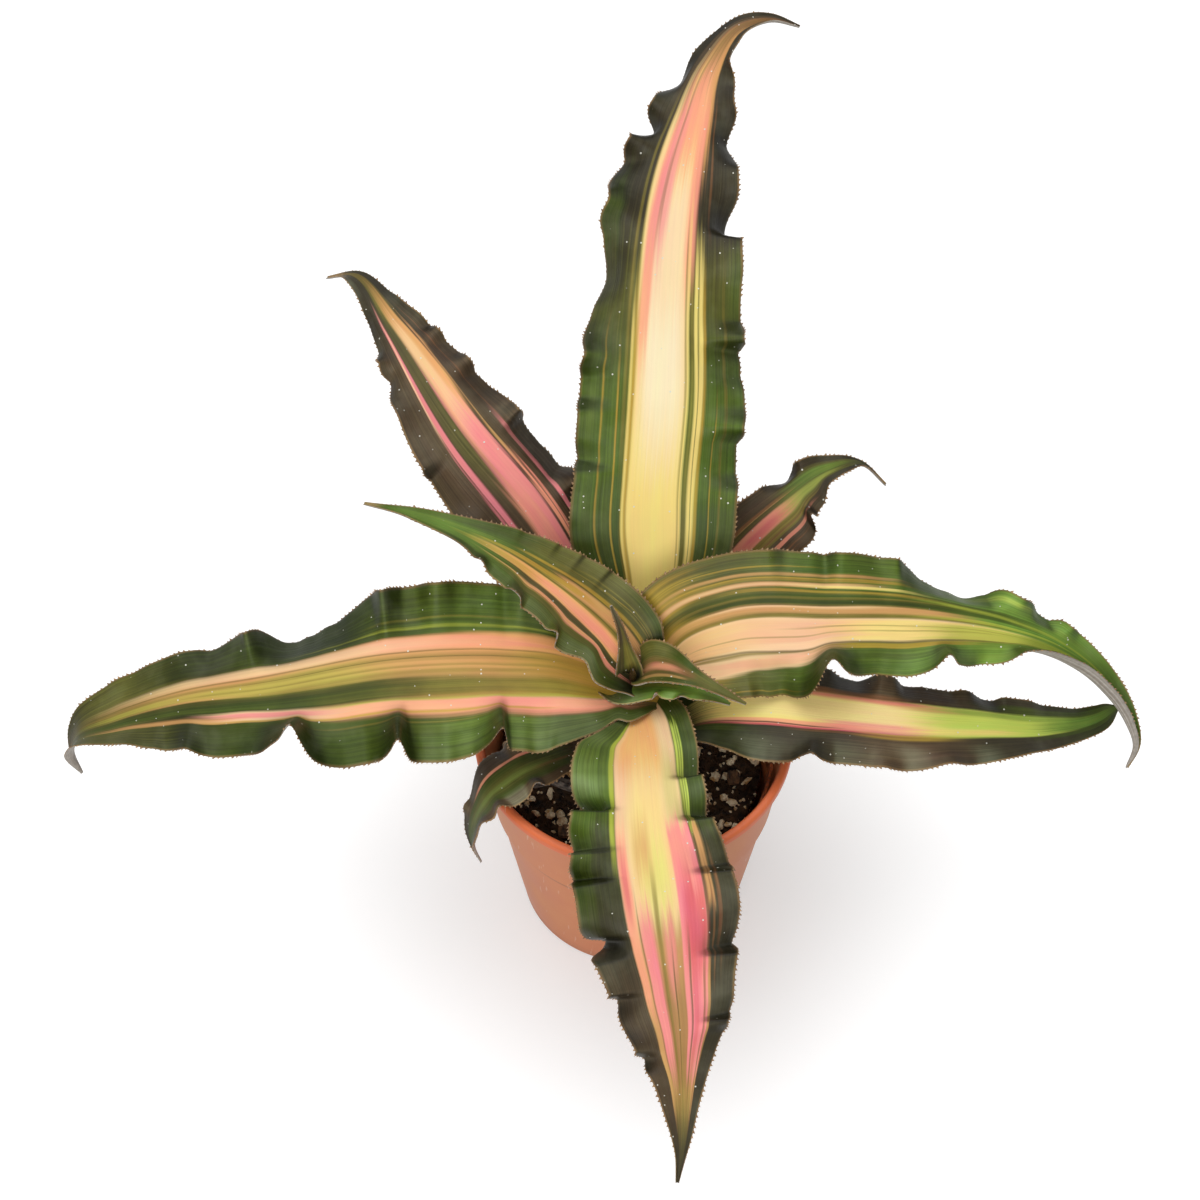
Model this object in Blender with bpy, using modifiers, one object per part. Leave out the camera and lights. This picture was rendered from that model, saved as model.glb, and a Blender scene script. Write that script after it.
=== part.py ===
"""A potted earth star plant: a rosette of long, wavy, striped leaves in a tapered plastic nursery pot."""
import math

import bmesh
import bpy
import numpy as np
from mathutils import Vector, noise

MM = 0.001
GAP = 0.3                      # mm left between pieces that touch

# Nursery pot, mm
POT_RIM_RADIUS = 45.0
POT_HEIGHT = 72.0
POT_BASE_RADIUS = 32.3
LIP_WIDTH = 2.6
LIP_DEPTH = 3.0
COLLAR_TOP_RADIUS = 43.4
COLLAR_FOOT_RADIUS = 40.4
COLLAR_FOOT_HEIGHT = 46.5
COLLAR_STEP = 1.0
POT_WALL = 1.4
POT_FLOOR = 2.0
POT_SEGMENTS = 64
DRAIN_HOLES = 6
DRAIN_RADIUS = 3.0
DRAIN_CIRCLE = 20.0

# Root ball, mm: narrower than the pot and standing nearer its back left wall
SOIL_TOP = 57.0
SOIL_TOP_RADIUS = 37.2
SOIL_FOOT_RADIUS = 29.2
SOIL_SHIFT = (-1.1, 0.7)
STEM_SOCKET_DEPTH = 14.0

# Stem, mm: (radius, height) from the foot up
STEM_PROFILE = [(5.6, 43.5), (5.6, 66.0), (4.4, 74.0), (2.6, 81.0), (1.4, 86.0), (0.0, 87.5)]

# Stations along a leaf, as fractions of its length, at which its half-widths are given
STATIONS = (0.0, 0.12, 0.3, 0.5, 0.7, 0.85, 0.95, 1.0)
LEAF_THICKNESS = 1.3
EDGE_THICKNESS = 0.8
COLUMNS = (0, 4, 7, 10)        # sub-steps out from the midrib that carry mesh points
HINGE = 0.3                    # fraction of the half-width that stays out of the waves

# Each leaf: midrib points in mm; half-widths left and right of it at the stations, in mm; cupping of
# the blade in degrees along the length; roll about the midrib; and the waves of each margin, as
# (fraction of length, tilt in degrees, up positive).
LEAVES = {
    "leaf_back": dict(
        path=[(2, 8, 80), (4, 18, 90), (6, 29, 101), (6, 43, 121), (8, 63, 140), (9, 86, 156),
              (11, 109, 169), (16, 133, 180), (21, 148, 187), (30, 157, 194), (39, 160, 194), (47, 158, 193)],
        left_half=(5, 13, 22.5, 22, 17, 7.5, 3, 0.4),
        right_half=(5, 13, 22.5, 21.5, 16.5, 8, 3.5, 0.4),
        cup=[(0, 70), (0.15, 20), (0.6, 8), (0.85, 20), (1, 75)],
        roll=[(0, 0), (0.8, 0), (1, -30)],
        left_wave=[(0.30, 25), (0.34, -15), (0.375, 25), (0.41, -20), (0.45, 30), (0.5, -20), (0.55, -60),
                   (0.64, 15), (0.7, -20), (0.735, 20), (0.76, -60), (0.79, 20), (0.825, -50), (0.87, 10)],
        right_wave=[(0.265, 20), (0.31, -15), (0.355, 25), (0.41, -15), (0.47, 25), (0.52, -15), (0.59, 15),
                    (0.625, -70), (0.69, 10), (0.74, -55), (0.80, 15), (0.835, -45), (0.87, 30)],
    ),
    "leaf_left": dict(
        path=[(-7, 1, 84), (-20, 1, 96), (-37, -1, 101), (-66, -3, 102), (-103, -6, 97), (-125, -4, 90),
              (-146, -3, 80), (-159, -2, 71), (-161, -2, 63), (-158, -4, 58)],
        left_half=(5, 16, 24.5, 21, 14, 6.5, 4, 0.4),
        right_half=(5, 15, 24, 20, 14.5, 9, 4, 0.4),
        cup=[(0, 70), (0.15, 25), (0.6, 8), (0.85, 20), (1, 80)],
        roll=[(0, 0), (0.25, -22), (0.7, -22), (1, 0)],
        left_wave=[(0.13, -15), (0.19, 20), (0.24, -20), (0.295, -20), (0.345, 40), (0.4, -25), (0.45, -25),
                   (0.515, 70), (0.57, -25), (0.64, -20), (0.69, 35), (0.74, -20), (0.79, 10)],
        right_wave=[(0.13, -15), (0.185, 25), (0.24, -15), (0.30, 30), (0.345, -15), (0.39, 25), (0.45, -25),
                    (0.515, -70), (0.58, 20), (0.635, -30), (0.69, 5), (0.75, -15)],
    ),
    "leaf_right": dict(
        path=[(6, 3, 83), (13, 11, 97), (26, 12, 105), (54, 11, 108), (80, 13, 105), (103, 15, 98),
              (119, 16, 89), (132, 14, 78), (141, 9, 66), (144, 5, 57), (142, 2, 51)],
        left_half=(4, 11, 18.5, 15, 7.5, 3.5, 2, 0.4),
        right_half=(4, 14, 20.5, 16.5, 6, 3.5, 2, 0.4),
        cup=[(0, 70), (0.15, 20), (0.6, 8), (0.8, 45), (1, 80)],
        roll=[(0, 0), (0.3, 5), (0.7, 5), (1, 0)],
        left_wave=[(0.15, -5), (0.235, 15), (0.30, -15), (0.36, 15), (0.41, -10), (0.47, -30), (0.55, -65),
                   (0.62, 30), (0.68, -30), (0.73, 10)],
        right_wave=[(0.1, -10), (0.2, -30), (0.28, -20), (0.335, 50), (0.39, -25), (0.45, -25), (0.52, 45),
                    (0.575, -25), (0.64, 30), (0.7, 0)],
    ),
    "leaf_lower_right": dict(
        path=[(8, -3, 73), (19, -1, 81), (35, -2, 85), (54, -6, 87), (75, -7, 85), (98, -4, 79),
              (117, 1, 71), (133, 9, 65), (139, 14, 64)],
        left_half=(4, 11, 15, 14, 10, 7.5, 4, 0.4),
        right_half=(4, 13, 15.5, 14.5, 10.5, 6, 3.5, 0.4),
        cup=[(0, 60), (0.15, 20), (0.6, 8), (0.85, 12), (1, 30)],
        roll=[(0, 0), (0.5, 0), (1, 0)],
        left_wave=[(0.33, -20), (0.41, -60), (0.46, 25), (0.51, -25), (0.56, 10), (0.61, 5), (0.675, -20),
                   (0.72, 5)],
        right_wave=[(0.15, 0), (0.21, -20), (0.27, -10), (0.305, 50), (0.35, -20), (0.41, -20), (0.45, 0),
                    (0.495, -25), (0.575, 10), (0.65, -20), (0.72, 0)],
    ),
    "leaf_front": dict(
        path=[(1, -7, 79), (2, -18, 90), (3, -33, 93), (4, -47, 90), (7, -69, 76), (9, -81, 67),
              (11, -93, 58), (12, -106, 50), (12, -116, 42), (11, -123, 37)],
        left_half=(5, 14, 20, 21.5, 14, 5.5, 2, 0.4),
        right_half=(5, 16, 22, 21, 13, 5.5, 2, 0.4),
        cup=[(0, 70), (0.15, 20), (0.6, 8), (0.85, 20), (1, 60)],
        roll=[(0, 0), (0.5, 0), (1, 0)],
        left_wave=[(0.12, -35), (0.2, -45), (0.235, 15), (0.29, -20), (0.32, 15), (0.37, -15), (0.41, 15),
                   (0.46, -10), (0.49, 10), (0.525, -40), (0.56, 5), (0.6, -10), (0.64, 15), (0.68, -10)],
        right_wave=[(0.12, 15), (0.2, -30), (0.26, -45), (0.29, 15), (0.33, -35), (0.36, 25), (0.41, -20),
                    (0.47, 10), (0.525, -70), (0.57, 10), (0.64, -40), (0.68, 5), (0.74, -45), (0.78, 5)],
    ),
    "leaf_back_left": dict(
        path=[(-6, 6, 72), (-14, 33, 92), (-24, 44, 106), (-49, 65, 127), (-69, 93, 138), (-81, 114, 138),
              (-89, 120, 131)],
        left_half=(4, 12, 17.5, 17, 10, 4.5, 2.5, 0.4),
        right_half=(4, 12, 16, 16.5, 12, 5.5, 2, 0.4),
        cup=[(0, 60), (0.15, 20), (0.6, 8), (0.85, 15), (1, 60)],
        roll=[(0, 0), (0.5, 0), (1, 0)],
        left_wave=[(0.3, -10), (0.42, 15), (0.48, -15), (0.53, 15), (0.58, -20), (0.62, 15), (0.66, -25),
                   (0.7, 20), (0.75, -25), (0.8, 10)],
        right_wave=[(0.3, 10), (0.36, -20), (0.41, 25), (0.46, -15), (0.515, 20), (0.56, -15), (0.6, 15),
                    (0.64, -15), (0.67, 20), (0.71, -15), (0.75, 15), (0.8, -15)],
    ),
    "leaf_back_right": dict(
        path=[(7, 5, 72), (17, 34, 84), (29, 46, 98), (43, 55, 107), (56, 63, 111), (66, 69, 107), (73, 68, 99)],
        left_half=(4, 9, 12, 11.5, 8.5, 4, 1.5, 0.4),
        right_half=(4, 9, 13, 13.5, 7.5, 3, 1.5, 0.4),
        cup=[(0, 60), (0.15, 20), (0.6, 8), (0.85, 15), (1, 60)],
        roll=[(0, 0), (0.5, 0), (1, 0)],
        left_wave=[(0.4, 10), (0.5, -10), (0.58, -20), (0.65, -65), (0.73, 15), (0.79, 0)],
        right_wave=[(0.4, 15), (0.5, -10), (0.6, -15), (0.655, 50), (0.7, -15), (0.76, 30), (0.82, -5)],
    ),
    "leaf_upper_left": dict(
        path=[(-4, 2.5, 91), (-9, 8, 103), (-23, 16, 115), (-35, 22, 122), (-49, 29, 125), (-62, 36, 124),
              (-75, 42, 121)],
        left_half=(3, 12, 14, 10, 5, 2.5, 1.2, 0.4),
        right_half=(3, 12, 15, 13, 7, 3, 1.5, 0.4),
        cup=[(0, 70), (0.2, 45), (0.6, 20), (0.85, 40), (1, 60)],
        roll=[(0, 0), (0.5, 0), (1, 0)],
        left_wave=[(0.2, -25), (0.33, 10), (0.38, -20), (0.44, 10), (0.5, -15), (0.58, 10), (0.62, -15)],
        right_wave=[(0.3, 10), (0.4, -10), (0.46, 10), (0.52, -10), (0.6, 5)],
    ),
    "leaf_front_left": dict(
        path=[(-8, -4, 70), (-21, -15, 80), (-32, -22, 82), (-40, -26, 77), (-44, -28, 69), (-45, -30, 57),
              (-43, -31, 52)],
        left_half=(4, 8, 9.5, 9, 6, 3, 1.5, 0.4),
        right_half=(4, 8, 10, 10.5, 6.5, 4, 2, 0.4),
        cup=[(0, 60), (0.15, 20), (0.6, 10), (0.85, 30), (1, 60)],
        roll=[(0, 0), (0.5, 0), (1, 0)],
        left_wave=[(0.3, -10), (0.44, 20), (0.5, -15), (0.57, -10), (0.62, 20), (0.7, 0)],
        right_wave=[(0.3, 0), (0.42, 15), (0.52, -10), (0.6, -30), (0.7, -20)],
    ),
    "leaf_inner_right": dict(
        path=[(4, -0.5, 93), (5.5, -0.5, 100), (9.5, -2, 106), (15, -6, 108), (22, -10, 107), (30, -14, 103)],
        left_half=(2.2, 5, 7, 5, 3, 1.5, 0.8, 0.4),
        right_half=(2.2, 5, 7, 5, 3, 1.5, 0.8, 0.4),
        cup=[(0, 60), (0.2, 50), (0.6, 25), (0.85, 45), (1, 60)],
        roll=[(0, 0), (0.5, 0), (1, 0)],
        left_wave=[],
        right_wave=[],
    ),
    "leaf_inner_front": dict(
        path=[(0, -6, 85), (3, -8.5, 92), (9, -10, 98), (16, -11.5, 100), (24, -13, 99), (32, -15, 96)],
        left_half=(3, 6, 7.5, 6, 4, 2, 1, 0.4),
        right_half=(3, 6, 7.5, 6, 4, 2, 1, 0.4),
        cup=[(0, 90), (0.2, 50), (0.6, 25), (0.85, 30), (1, 50)],
        roll=[(0, 0), (0.5, 0), (1, 0)],
        left_wave=[],
        right_wave=[],
    ),
    "leaf_centre_spike": dict(
        path=[(0, 1, 93), (-0.7, 1.3, 99), (-2.2, 2.2, 106), (-4, 3.5, 114), (-6, 5, 121)],
        left_half=(1.4, 2, 2.3, 1.8, 1.2, 0.8, 0.5, 0.4),
        right_half=(1.4, 2, 2.3, 1.8, 1.2, 0.8, 0.5, 0.4),
        cup=[(0, 60), (0.2, 70), (0.6, 70), (0.85, 60), (1, 50)],
        roll=[(0, 0), (0.5, 0), (1, 0)],
        left_wave=[],
        right_wave=[],
    ),
    "leaf_dried": dict(
        path=[(-7, -8, 62), (-13, -15, 65), (-18, -16, 67), (-23, -14, 67), (-28, -14, 64)],
        left_half=(2, 3.5, 4.5, 5, 4, 2.5, 1.2, 0.5),
        right_half=(2, 3.5, 4.5, 4.5, 4, 2.5, 1.2, 0.5),
        cup=[(0, 60), (0.3, 40), (0.6, 30), (0.85, 40), (1, 60)],
        roll=[(0, 0), (0.5, 25), (1, 10)],
        left_wave=[(0.3, 20), (0.5, -20), (0.7, 20)],
        right_wave=[(0.3, -20), (0.5, 20), (0.7, -10)],
    ),
}
LARGE_LEAF_ROWS = 30
SMALL_LEAF_ROWS = 16

# Loose grains on the soil, mm: (x, y, radius)
PERLITE = {
    "perlite_a": (24.3, 6.3, 1.9),
    "perlite_b": (32.8, 2.6, 2.2),
    "perlite_c": (23.2, -6.3, 1.6),
    "perlite_d": (27.6, -0.9, 1.2),
    "perlite_e": (25.5, -13.2, 1.3),
    "perlite_f": (19.0, 3.5, 1.1),
    "perlite_g": (-28.4, -13.6, 1.0),
    "perlite_h": (-23.3, -19.4, 1.3),
}

# Bark chips on the soil: (x, y, heading in degrees, length, width, height)
BARK = {
    "bark_chip_a": (-18.0, -25.0, 20, 6.0, 3.2, 1.8),
    "bark_chip_b": (28.5, -6.6, 70, 5.0, 2.6, 1.6),
    "bark_chip_c": (18.5, -16.0, -30, 5.5, 2.8, 1.6),
}

# Dried strips standing in the gap beside the root ball: (angles, radius at foot, lean outwards, heights)
WALL_STRIPS = {
    "dried_strip_front": (-62, -34, 37.6, 1.2, (53.5, 60.5)),
    "dried_strip_side": (-30, -4, 37.7, 1.4, (53.5, 63.0)),
}
STRIP_THICKNESS = 0.8


def clear_scene():
    for thing in list(bpy.data.objects):
        bpy.data.objects.remove(thing)


def make_collection(name):
    collection = bpy.data.collections.new(name)
    bpy.context.scene.collection.children.link(collection)
    return collection


def make_material(name, colour, roughness):
    material = bpy.data.materials.new(name)
    material.use_nodes = True
    shader = material.node_tree.nodes["Principled BSDF"]
    shader.inputs["Base Color"].default_value = (*colour, 1.0)
    shader.inputs["Roughness"].default_value = roughness
    shader.inputs["Metallic"].default_value = 0.0
    return material


def place_object(name, mesh, material, collection):
    thing = bpy.data.objects.new(name, mesh)
    collection.objects.link(thing)
    mesh.materials.append(material)
    return thing


def profile_mesh(name, points):
    """Points are (radius, height) in mm, joined in order."""
    vertices = [(radius * MM, 0.0, height * MM) for radius, height in points]
    edges = [(i, i + 1) for i in range(len(points) - 1)]
    mesh = bpy.data.meshes.new(name)
    mesh.from_pydata(vertices, edges, [])
    return mesh


def turn_profile(thing, segments):
    screw = thing.modifiers.new("Turned", "SCREW")
    screw.axis = "Z"
    screw.steps = segments
    screw.render_steps = segments
    screw.use_merge_vertices = True
    screw.merge_threshold = 0.00001


def hide_cutter(cutter):
    cutter.hide_render = True
    cutter.display_type = "WIRE"


def cut(thing, cutter):
    boolean = thing.modifiers.new("Cut", "BOOLEAN")
    boolean.operation = "DIFFERENCE"
    boolean.solver = "EXACT"
    boolean.object = cutter


def build_pot(collection, cutters):
    step_radius = COLLAR_FOOT_RADIUS - COLLAR_STEP
    under_lip = POT_HEIGHT - LIP_DEPTH
    points = [
        (0.0, POT_FLOOR),
        (POT_BASE_RADIUS - POT_WALL, POT_FLOOR),
        (step_radius - POT_WALL, COLLAR_FOOT_HEIGHT - 0.6),
        (COLLAR_FOOT_RADIUS - POT_WALL, COLLAR_FOOT_HEIGHT + 0.4),
        (POT_RIM_RADIUS - LIP_WIDTH, POT_HEIGHT - 0.6),
        (POT_RIM_RADIUS - LIP_WIDTH + 0.6, POT_HEIGHT),
        (POT_RIM_RADIUS - 0.6, POT_HEIGHT),
        (POT_RIM_RADIUS, POT_HEIGHT - 0.6),
        (POT_RIM_RADIUS, under_lip),
        (COLLAR_TOP_RADIUS, under_lip - 0.3),
        (COLLAR_FOOT_RADIUS, COLLAR_FOOT_HEIGHT),
        (step_radius, COLLAR_FOOT_HEIGHT - 0.8),
        (POT_BASE_RADIUS, 0.6),
        (POT_BASE_RADIUS - 0.6, 0.0),
        (0.0, 0.0),
    ]
    mesh = profile_mesh("pot", points)
    material = make_material("terracotta_plastic", (0.58, 0.19, 0.09), 0.5)
    pot = place_object("pot", mesh, material, collection)
    turn_profile(pot, POT_SEGMENTS)
    for i in range(DRAIN_HOLES):
        angle = 2 * math.pi * i / DRAIN_HOLES + 0.3
        centre = (DRAIN_CIRCLE * math.cos(angle) * MM, DRAIN_CIRCLE * math.sin(angle) * MM, 0.0)
        bpy.ops.mesh.primitive_cylinder_add(vertices=16, radius=DRAIN_RADIUS * MM, depth=8 * MM, location=centre)
        hole = bpy.context.object
        hole.name = "drain_cutter_" + str(i + 1)
        hide_cutter(hole)
        move_to(hole, cutters)
        cut(pot, hole)


def move_to(thing, collection):
    for old in list(thing.users_collection):
        old.objects.unlink(thing)
    collection.objects.link(thing)


def build_soil(collection, cutters):
    foot = POT_FLOOR + GAP
    depth = SOIL_TOP - foot
    centre = (SOIL_SHIFT[0] * MM, SOIL_SHIFT[1] * MM, (foot + depth / 2) * MM)
    bpy.ops.mesh.primitive_cone_add(
        vertices=48, radius1=SOIL_FOOT_RADIUS * MM, radius2=SOIL_TOP_RADIUS * MM, depth=depth * MM, location=centre)
    soil = bpy.context.object
    soil.name = "soil"
    soil.data.name = "soil"
    soil.data.materials.append(make_material("peat_soil", (0.045, 0.03, 0.022), 0.95))
    move_to(soil, collection)
    socket_top = SOIL_TOP + 2
    socket_foot = SOIL_TOP - STEM_SOCKET_DEPTH
    middle = (0.0, 0.0, (socket_top + socket_foot) / 2 * MM)
    bpy.ops.mesh.primitive_cylinder_add(
        vertices=24, radius=(STEM_PROFILE[0][0] + GAP) * MM, depth=(socket_top - socket_foot) * MM, location=middle)
    socket = bpy.context.object
    socket.name = "socket_cutter"
    hide_cutter(socket)
    move_to(socket, cutters)
    cut(soil, socket)


def build_stem(collection):
    points = list(reversed(STEM_PROFILE)) + [(0.0, STEM_PROFILE[0][1])]
    mesh = profile_mesh("stem", points)
    material = make_material("woody_stem", (0.12, 0.10, 0.05), 0.8)
    stem = place_object("stem", mesh, material, collection)
    turn_profile(stem, 24)


def follow(at, knots, values):
    """Smooth curve through the values, read at the fractions in at."""
    values = np.asarray(values, float)
    slopes = np.gradient(values, knots, axis=0)
    index = np.clip(np.searchsorted(knots, at) - 1, 0, len(knots) - 2)
    step = knots[index + 1] - knots[index]
    t = (at - knots[index]) / step
    if values.ndim == 2:
        step = step[:, None]
        t = t[:, None]
    start = (1 + 2 * t) * (1 - t) ** 2 * values[index] + t * (1 - t) ** 2 * step * slopes[index]
    end = t * t * (3 - 2 * t) * values[index + 1] + t * t * (t - 1) * step * slopes[index + 1]
    return start + end


def follow_pairs(at, pairs):
    knots = np.array([pair[0] for pair in pairs], float)
    return follow(at, knots, [pair[1] for pair in pairs])


def wave(at, pairs):
    """Tilt of a margin along the leaf, easing from one crest or trough to the next."""
    stops = [(0.0, 0.0)] + list(pairs) + [(1.001, 0.0)]
    knots = np.array([stop[0] for stop in stops], float)
    tilts = np.array([stop[1] for stop in stops], float)
    index = np.clip(np.searchsorted(knots, at) - 1, 0, len(knots) - 2)
    t = (at - knots[index]) / (knots[index + 1] - knots[index])
    return tilts[index] + (tilts[index + 1] - tilts[index]) * t * t * (3 - 2 * t)


def midrib(points, rows):
    """Evenly spaced points on the midrib, with the direction along it at each."""
    points = np.array(points, float)
    chords = np.linalg.norm(np.diff(points, axis=0), axis=1)
    knots = np.concatenate([[0.0], np.cumsum(chords)]) / chords.sum()
    fine = follow(np.linspace(0, 1, 401), knots, points)
    lengths = np.concatenate([[0.0], np.cumsum(np.linalg.norm(np.diff(fine, axis=0), axis=1))])
    even = np.interp(np.linspace(0, 1, rows), lengths / lengths[-1], np.linspace(0, 1, 401))
    centres = follow(even, knots, points)
    along = np.gradient(centres, axis=0)
    along /= np.linalg.norm(along, axis=1)[:, None]
    return centres, along


def blade_frames(along, roll):
    """Upper-side normal and leftward direction at each row, carried along without twist, then rolled."""
    up = np.zeros_like(along)
    first = np.array([0.0, 0.0, 1.0]) - along[0] * along[0][2]
    up[0] = first / np.linalg.norm(first)
    for i in range(1, len(along)):
        carried = up[i - 1] - along[i] * (up[i - 1] @ along[i])
        up[i] = carried / np.linalg.norm(carried)
    left = np.cross(up, along)
    cosine = np.cos(roll)[:, None]
    sine = np.sin(roll)[:, None]
    return up * cosine - left * sine, left * cosine + up * sine


def half_section(half, cup, tilt):
    """Sideways and upward reach of each column of one half-blade, with its slope there."""
    steps = np.linspace(0.05, 0.95, 10)
    bend = np.clip((steps - HINGE) / (1 - HINGE), 0, 1)
    bend = bend * bend * (3 - 2 * bend)
    slope = cup[:, None] * steps + tilt[:, None] * bend
    start = np.zeros((len(half), 1))
    side = np.concatenate([start, np.cumsum(np.cos(slope), axis=1)], axis=1) / 10 * half[:, None]
    rise = np.concatenate([start, np.cumsum(np.sin(slope), axis=1)], axis=1) / 10 * half[:, None]
    slope = np.concatenate([start, slope], axis=1)
    return side[:, COLUMNS], rise[:, COLUMNS], slope[:, COLUMNS]


def leaf_mesh(name, leaf, rows):
    at = np.linspace(0, 1, rows)
    stations = np.array(STATIONS)
    centres, along = midrib(leaf["path"], rows)
    up, left = blade_frames(along, np.radians(follow_pairs(at, leaf["roll"])))
    cup = np.radians(follow_pairs(at, leaf["cup"]))
    thin = np.minimum(1.0, 0.35 + 4 * (1 - at))
    tops = []
    unders = []
    for sign, half_key, wave_key in ((1, "left_half", "left_wave"), (-1, "right_half", "right_wave")):
        half = np.maximum(follow(at, stations, leaf[half_key]), 0.35)
        tilt = np.radians(wave(at, leaf[wave_key]))
        side, rise, slope = half_section(half, cup, tilt)
        top = centres[:, None] + sign * side[..., None] * left[:, None] + rise[..., None] * up[:, None]
        normal = np.cos(slope)[..., None] * up[:, None] - sign * np.sin(slope)[..., None] * left[:, None]
        out = np.array(COLUMNS) / 10
        thickness = (LEAF_THICKNESS + (EDGE_THICKNESS - LEAF_THICKNESS) * out)[None, :] * thin[:, None]
        tops.append(top)
        unders.append(top - normal * thickness[..., None])
    top = np.concatenate([tops[0][:, ::-1], tops[1][:, 1:]], axis=1)
    under = np.concatenate([unders[0][:, ::-1], unders[1][:, 1:]], axis=1)
    sections = np.concatenate([top, under[:, ::-1]], axis=1)
    return loft(name, sections)


def loft(name, sections):
    """Closed skin over a run of loops; both sides of the sheet are split along matching diagonals."""
    rows, loop = sections.shape[:2]
    mesh = bmesh.new()
    grid = [[mesh.verts.new(Vector(point) * MM) for point in row] for row in sections]
    for i in range(rows - 1):
        for j in range(loop):
            k = (j + 1) % loop
            near, far = grid[i], grid[i + 1]
            if j < loop // 2:
                mesh.faces.new((near[j], near[k], far[k]))
                mesh.faces.new((near[j], far[k], far[j]))
            else:
                mesh.faces.new((near[j], near[k], far[j]))
                mesh.faces.new((near[k], far[k], far[j]))
    half = loop // 2
    for row in (grid[0], grid[-1]):
        for j in range(half - 1):
            mesh.faces.new((row[j], row[j + 1], row[loop - 2 - j], row[loop - 1 - j]))
    bmesh.ops.recalc_face_normals(mesh, faces=mesh.faces)
    data = bpy.data.meshes.new(name)
    mesh.to_mesh(data)
    mesh.free()
    return data


def build_leaves(collection):
    green = make_material("striped_leaf", (0.16, 0.22, 0.06), 0.4)
    dry = make_material("dried_leaf", (0.05, 0.045, 0.04), 0.8)
    for name, leaf in LEAVES.items():
        large = sum(leaf["left_half"]) > 50
        rows = LARGE_LEAF_ROWS if large else SMALL_LEAF_ROWS
        mesh = leaf_mesh(name, leaf, rows)
        place_object(name, mesh, dry if name == "leaf_dried" else green, collection)


def build_bud(collection):
    """The next leaf, still a small tight bud at the bottom of the cup."""
    bpy.ops.mesh.primitive_uv_sphere_add(segments=12, ring_count=8, radius=MM, location=(0.0009, -0.0024, 0.0945))
    bud = bpy.context.object
    bud.name = "centre_bud"
    bud.data.name = "centre_bud"
    for vertex in bud.data.vertices:
        vertex.co.z *= 3.0
    bud.data.materials.append(make_material("leaf_bud", (0.05, 0.06, 0.02), 0.25))
    move_to(bud, collection)


def build_perlite(collection):
    """Crumbly white grains resting on the soil."""
    material = make_material("perlite", (0.80, 0.76, 0.66), 0.9)
    for index, (name, (x, y, radius)) in enumerate(PERLITE.items()):
        bpy.ops.mesh.primitive_ico_sphere_add(subdivisions=2, radius=radius * MM)
        grain = bpy.context.object
        grain.name = name
        grain.data.name = name
        for vertex in grain.data.vertices:
            lump = noise.noise(vertex.co * 450 + Vector((index * 7.0, 0, 0)))
            vertex.co *= 1 + 0.3 * lump
            vertex.co.z *= 0.8
        lowest = min(vertex.co.z for vertex in grain.data.vertices)
        grain.location = (x * MM, y * MM, (SOIL_TOP + GAP) * MM - lowest)
        grain.data.materials.append(material)
        move_to(grain, collection)


def build_bark(collection):
    material = make_material("bark_chip", (0.10, 0.06, 0.035), 0.9)
    for name, (x, y, heading, length, width, height) in BARK.items():
        bpy.ops.mesh.primitive_cube_add(size=1.0)
        chip = bpy.context.object
        chip.name = name
        chip.data.name = name
        for vertex in chip.data.vertices:
            taper = 0.75 if vertex.co.x > 0 else 1.0
            vertex.co.x *= length * MM
            vertex.co.y *= width * taper * MM
            vertex.co.z *= height * taper * MM
        lowest = min(vertex.co.z for vertex in chip.data.vertices)
        chip.rotation_euler = (0.0, 0.0, math.radians(heading))
        chip.location = (x * MM, y * MM, (SOIL_TOP + GAP) * MM - lowest)
        chip.data.materials.append(material)
        bevel = chip.modifiers.new("Worn edges", "BEVEL")
        bevel.width = 0.3 * MM
        bevel.segments = 1
        move_to(chip, collection)


def build_wall_strips(collection):
    """Dried leaf sheaths standing on edge between the root ball and the pot."""
    material = make_material("dried_sheath", (0.16, 0.07, 0.03), 0.7)
    for name, (first, last, radius, lean, heights) in WALL_STRIPS.items():
        steps = 9
        sections = []
        for i in range(steps):
            angle = math.radians(first + (last - first) * i / (steps - 1))
            direction = np.array([math.cos(angle), math.sin(angle), 0.0])
            sag = 1.2 * math.sin(math.pi * i / (steps - 1))
            foot = np.array([0.0, 0.0, heights[0]])
            top = np.array([0.0, 0.0, heights[1] - 2.5 + sag])
            outer = radius + STRIP_THICKNESS
            sections.append([
                direction * radius + foot,
                direction * outer + foot,
                direction * (outer + lean) + top,
                direction * (radius + lean) + top,
            ])
        mesh = loft(name, np.array(sections))
        place_object(name, mesh, material, collection)


def build_plant():
    clear_scene()
    plant = make_collection("potted_earth_star")
    cutters = make_collection("cutters")
    build_pot(plant, cutters)
    build_soil(plant, cutters)
    build_stem(plant)
    build_leaves(plant)
    build_bud(plant)
    build_perlite(plant)
    build_bark(plant)
    build_wall_strips(plant)


build_plant()
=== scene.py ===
# A potted earth star: a rosette of long, ruffled, striped leaves in a terracotta-coloured nursery pot.
# Lengths are in millimetres until a mesh is made, and angles in degrees until they are used.
import math

import bmesh
import bpy
import numpy as np
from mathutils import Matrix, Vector, noise


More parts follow.
